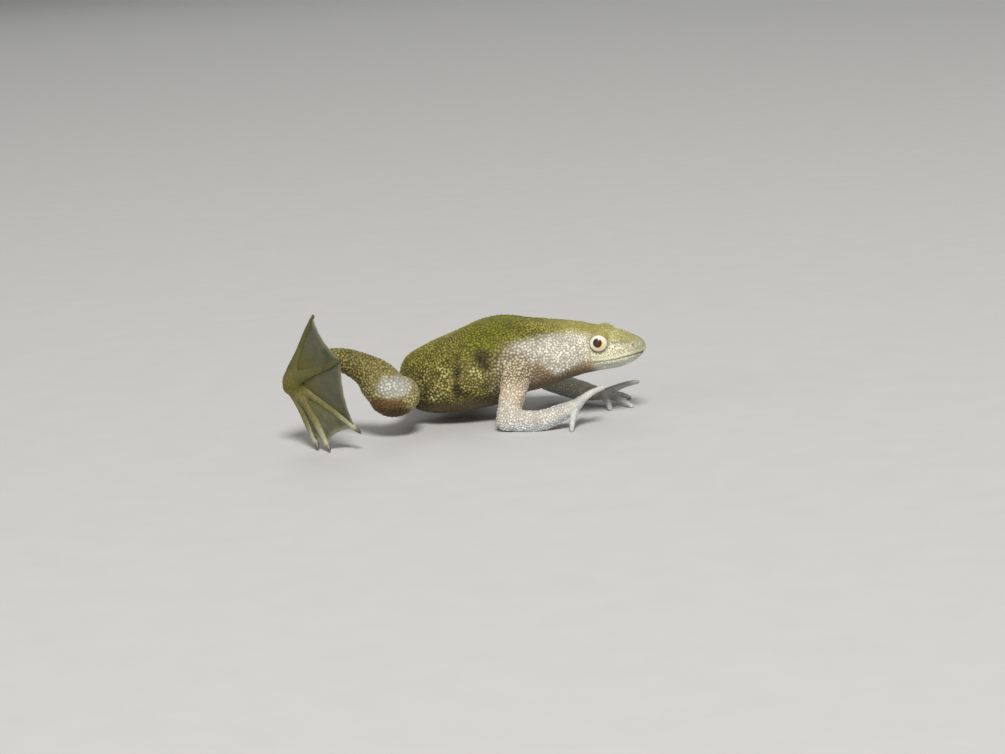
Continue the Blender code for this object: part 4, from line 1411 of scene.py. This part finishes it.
def join(objects, name):
    bpy.ops.object.select_all(action="DESELECT")
    for obj in objects:
        obj.select_set(True)
    bpy.context.view_layer.objects.active = objects[0]
    bpy.ops.object.join()
    objects[0].name = name
    return objects[0]


def add_web(limb, name, material, reaches, notch, start, on_hand):
    """The webs between all digits of a hand or foot, as one piece."""
    sheets = [web_sheet(limb, i, reaches, notch, start) for i in range(len(limb.digits) - 1)]
    web = join(sheets, name)
    store(web, "hand", np.full(len(web.data.vertices), on_hand))
    finish_piece(web, material)


def eyeball(sign, name):
    """The ball, set back in the head, with each point's distance from the gaze."""
    shells = Shells()
    add_ball(shells, (0, 0, 0), (EYE_CURVE,) * 3, np.eye(3), around=96, rows=72)
    local = np.array(shells.points)
    centre, turn = eye_frame(sign)
    forward = 1.0 if turn[0, 0] > 0 else -1.0
    middle = 1 - above(np.hypot(local[:, 0], local[:, 1]), 0.5, 0.55)
    from_pupil = local[:, :2] - middle[:, None] * np.array((forward * PUPIL_SHIFT[0], PUPIL_SHIFT[1]))
    share = np.where(local[:, 2] > 0, np.hypot(from_pupil[:, 0], from_pupil[:, 1]) / EYE_CURVE, 1.0)
    spin = np.arctan2(local[:, 1], local[:, 0])
    local[:, 2] -= EYE_SET_BACK
    ball = new_object(name, local @ turn.T + centre, shells.faces)
    store(ball, "angle", share)
    store(ball, "warm", 0.6 * forward * np.cos(spin) - 0.8 * np.sin(spin))
    store(ball, "spin", np.column_stack([np.cos(spin), np.sin(spin), 0.3 * share]) * 0.05)
    return ball


def eye_rim(sign, name, around=120, sides=14):
    """The thin fold of skin that lies on the ball round the eye, thicker over its top."""
    centre, turn = eye_frame(sign)
    points, tops = [], []
    for a in circle(around):
        out = np.array((math.cos(a), math.sin(a), 0.0))
        top = float(ease(math.sin(a)))
        thick = RIM_GIRTH + RIM_TOP_GIRTH * top
        for b in circle(sides):
            radial = EYE_OPENING + 0.02 - 0.05 * top + thick * math.cos(b)
            place = out * radial + np.array((*EYE_DROP, 0.0))
            lift = float(eyeball_front(np.hypot(place[0], place[1]))) + 0.03
            points.append(centre + turn @ (place + np.array((0, 0, lift + thick * math.sin(b)))))
            tops.append(top)
    faces = [
        tuple(corner % len(points) for corner in (a, d, c, b))
        for a, b, c, d in grid_faces(around + 1, sides, closed=True)
    ]
    rim = new_object(name, points, faces)
    top = np.array(tops)
    for key, edge, lid in zip(("tint", "deep"), EYE_EDGE, LID):
        store(rim, key, mix(np.tile(np.array(edge), (len(top), 1)), lid, top))
    store(rim, "grain", np.full(len(top), 0.3))
    store(rim, "wart", np.full(len(top), 0.6))
    return rim


def claw(leg, toe, name, around=24, rings=22):
    """A tapered horn sheath, curved down at its tip."""
    tip, back = leg.digits[toe], leg.back
    ahead = unit(tip - digit_bends(leg)[toe])
    root = tip - CLAW_SUNK * ahead
    end = tip + (CLAW_GAP + CLAW_LENGTH) * ahead - CLAW_DROOP * back
    end[2] = max(end[2], CLAW_LOWEST)
    bend = 2 * ((root + end) / 2 + CLAW_ARCH * back) - (root + end) / 2
    side = unit(np.cross(ahead, back))
    up = np.cross(side, ahead)
    turns = circle(around)
    rows, shares = [], []
    for share in np.linspace(0, 1, rings):
        radius = CLAW_GIRTH * (1 - share**1.7) + CLAW_POINT
        ring = np.outer(np.cos(turns), side) + 0.92 * np.outer(np.sin(turns), up)
        rows.append(bezier(root, bend, end, share) + radius * ring)
        shares += [share] * around
    shells = Shells()
    shells.loft(rows, root - 0.1 * ahead, end + 0.04 * ahead)
    made = new_object(name, shells.points, shells.faces)
    store(made, "along", np.array(shares + [0.0, 1.0]))
    return made


def finish_piece(obj, material, nodes=()):
    """Moves a piece to the frame, dresses it and says which solids it stands for."""
    to_frame(obj)
    obj.data.materials.clear()
    obj.data.materials.append(material)
    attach(obj, "root")
    if nodes:
        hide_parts(*nodes)


def build_frog():
    skin = fused_skin()
    sculpt_coarse(skin)
    skin.modifiers.new("finer", "SUBSURF").levels = 1
    take_modifiers(skin)
    sculpt_fine(skin)
    skin_paint, web_paint = skin_material(), web_material()
    eye_paint, horn = eye_material(), claw_material()
    flesh = ("upper_arm", "forearm", "hand", "thigh", "shank", "tarsus", "foot")
    nodes = ["trunk", "head", *(f"{name}_{side}" for side in SIDES for name in flesh)]
    finish_piece(skin, skin_paint, nodes)
    for arm in ARMS:
        add_web(arm, f"hand_web_{arm.side}", web_paint, FINGER_REACH, FINGER_NOTCH, FINGER_START, 1.0)
    for leg in LEGS:
        add_web(leg, f"foot_web_{leg.side}", web_paint, TOE_REACH, TOE_NOTCH, TOE_START, 0.0)
        for toe in range(CLAWED_TOES):
            name = f"{leg.side}_{toe + 1}"
            finish_piece(claw(leg, toe, f"horn_{name}"), horn, [f"claw_{name}"])
    for sign, side in zip((-1, 1), SIDES):
        finish_piece(eyeball(sign, f"eyeball_{side}"), eye_paint, [f"eye_{side}"])
        finish_piece(eye_rim(sign, f"eye_rim_{side}"), skin_paint)


def add_camera():
    """The camera at the photograph's angle, rolled as the photograph is."""
    angles = (CAMERA_AZIMUTH, CAMERA_ELEVATION, CAMERA_ROLL)
    (ca, sa), (ce, se), (cr, sr) = ((math.cos(a), math.sin(a)) for a in angles)
    right, up = np.array((ca, sa, 0.0)), np.array((-sa * se, ca * se, ce))
    ahead = np.array((-sa * ce, ca * ce, -se))
    across, rise = cr * right - sr * up, sr * right + cr * up
    place = (np.array(CAMERA_AIM) - CAMERA_DISTANCE * ahead) * MM + OFFSET
    data = bpy.data.cameras.new("camera")
    data.sensor_width = SENSOR_WIDTH
    data.lens = SENSOR_WIDTH * CAMERA_DISTANCE / VIEW_WIDTH
    data.clip_start = NEAREST
    data.clip_end = FARTHEST
    camera = bpy.data.objects.new("camera", data)
    bpy.context.scene.collection.objects.link(camera)
    rows = np.column_stack([across, rise, -ahead, place]).tolist()
    camera.matrix_world = Matrix([*rows, (0, 0, 0, 1)])
    bpy.context.scene.camera = camera


FLOOR_REACH = 12.0


def add_floor():
    """A pale floor that runs far past the view."""
    corners = [(x * FLOOR_REACH, y * FLOOR_REACH, 0) for x, y in ((-1, -1), (1, -1), (1, 1), (-1, 1))]
    floor = new_object("floor", corners, [(0, 1, 2, 3)])
    paint = Paint("floor")
    speckle = paint.remap(paint.noise(6.0), 0.3, 0.7)
    paint.set({"Base Color": paint.mix(speckle, *FLOOR), "Roughness": 0.7})
    floor.data.materials.append(paint.material)


# A broad key above the camera's left, a fill at its right and a low light behind: name, place, size,
# power and colour.
LIGHTS = (
    ("key", (0.35, -1.15, 1.25), 0.5, 28.0, (1.0, 0.985, 0.955)),
    ("fill", (-1.2, -1.0, 0.5), 0.9, 3.0, (1.0, 0.98, 0.96)),
    ("back", (-0.3, 1.3, 1.0), 0.9, 2.5, (1.0, 0.98, 0.94)),
)
LIGHT_AIM = (0.0, 0.0, 0.006)
SKY = (0.80, 0.82, 0.84, 1.0)
SKY_STRENGTH = 0.27


def add_studio():
    for name, place, size, power, colour in LIGHTS:
        data = bpy.data.lights.new(name, "AREA")
        data.shape = "DISK"
        data.size = size
        data.energy = power
        data.color = colour
        lamp = bpy.data.objects.new(name, data)
        bpy.context.scene.collection.objects.link(lamp)
        lamp.location = place
        lamp.rotation_euler = (Vector(LIGHT_AIM) - Vector(place)).to_track_quat("-Z", "Y").to_euler()
    bpy.context.scene.view_settings.view_transform = "Standard"
    world = bpy.data.worlds.new("world")
    bpy.context.scene.world = world
    world.use_nodes = True
    sky = world.node_tree.nodes["Background"]
    sky.inputs["Color"].default_value = SKY
    sky.inputs["Strength"].default_value = SKY_STRENGTH


add_camera()
add_floor()
add_studio()
build_frog()
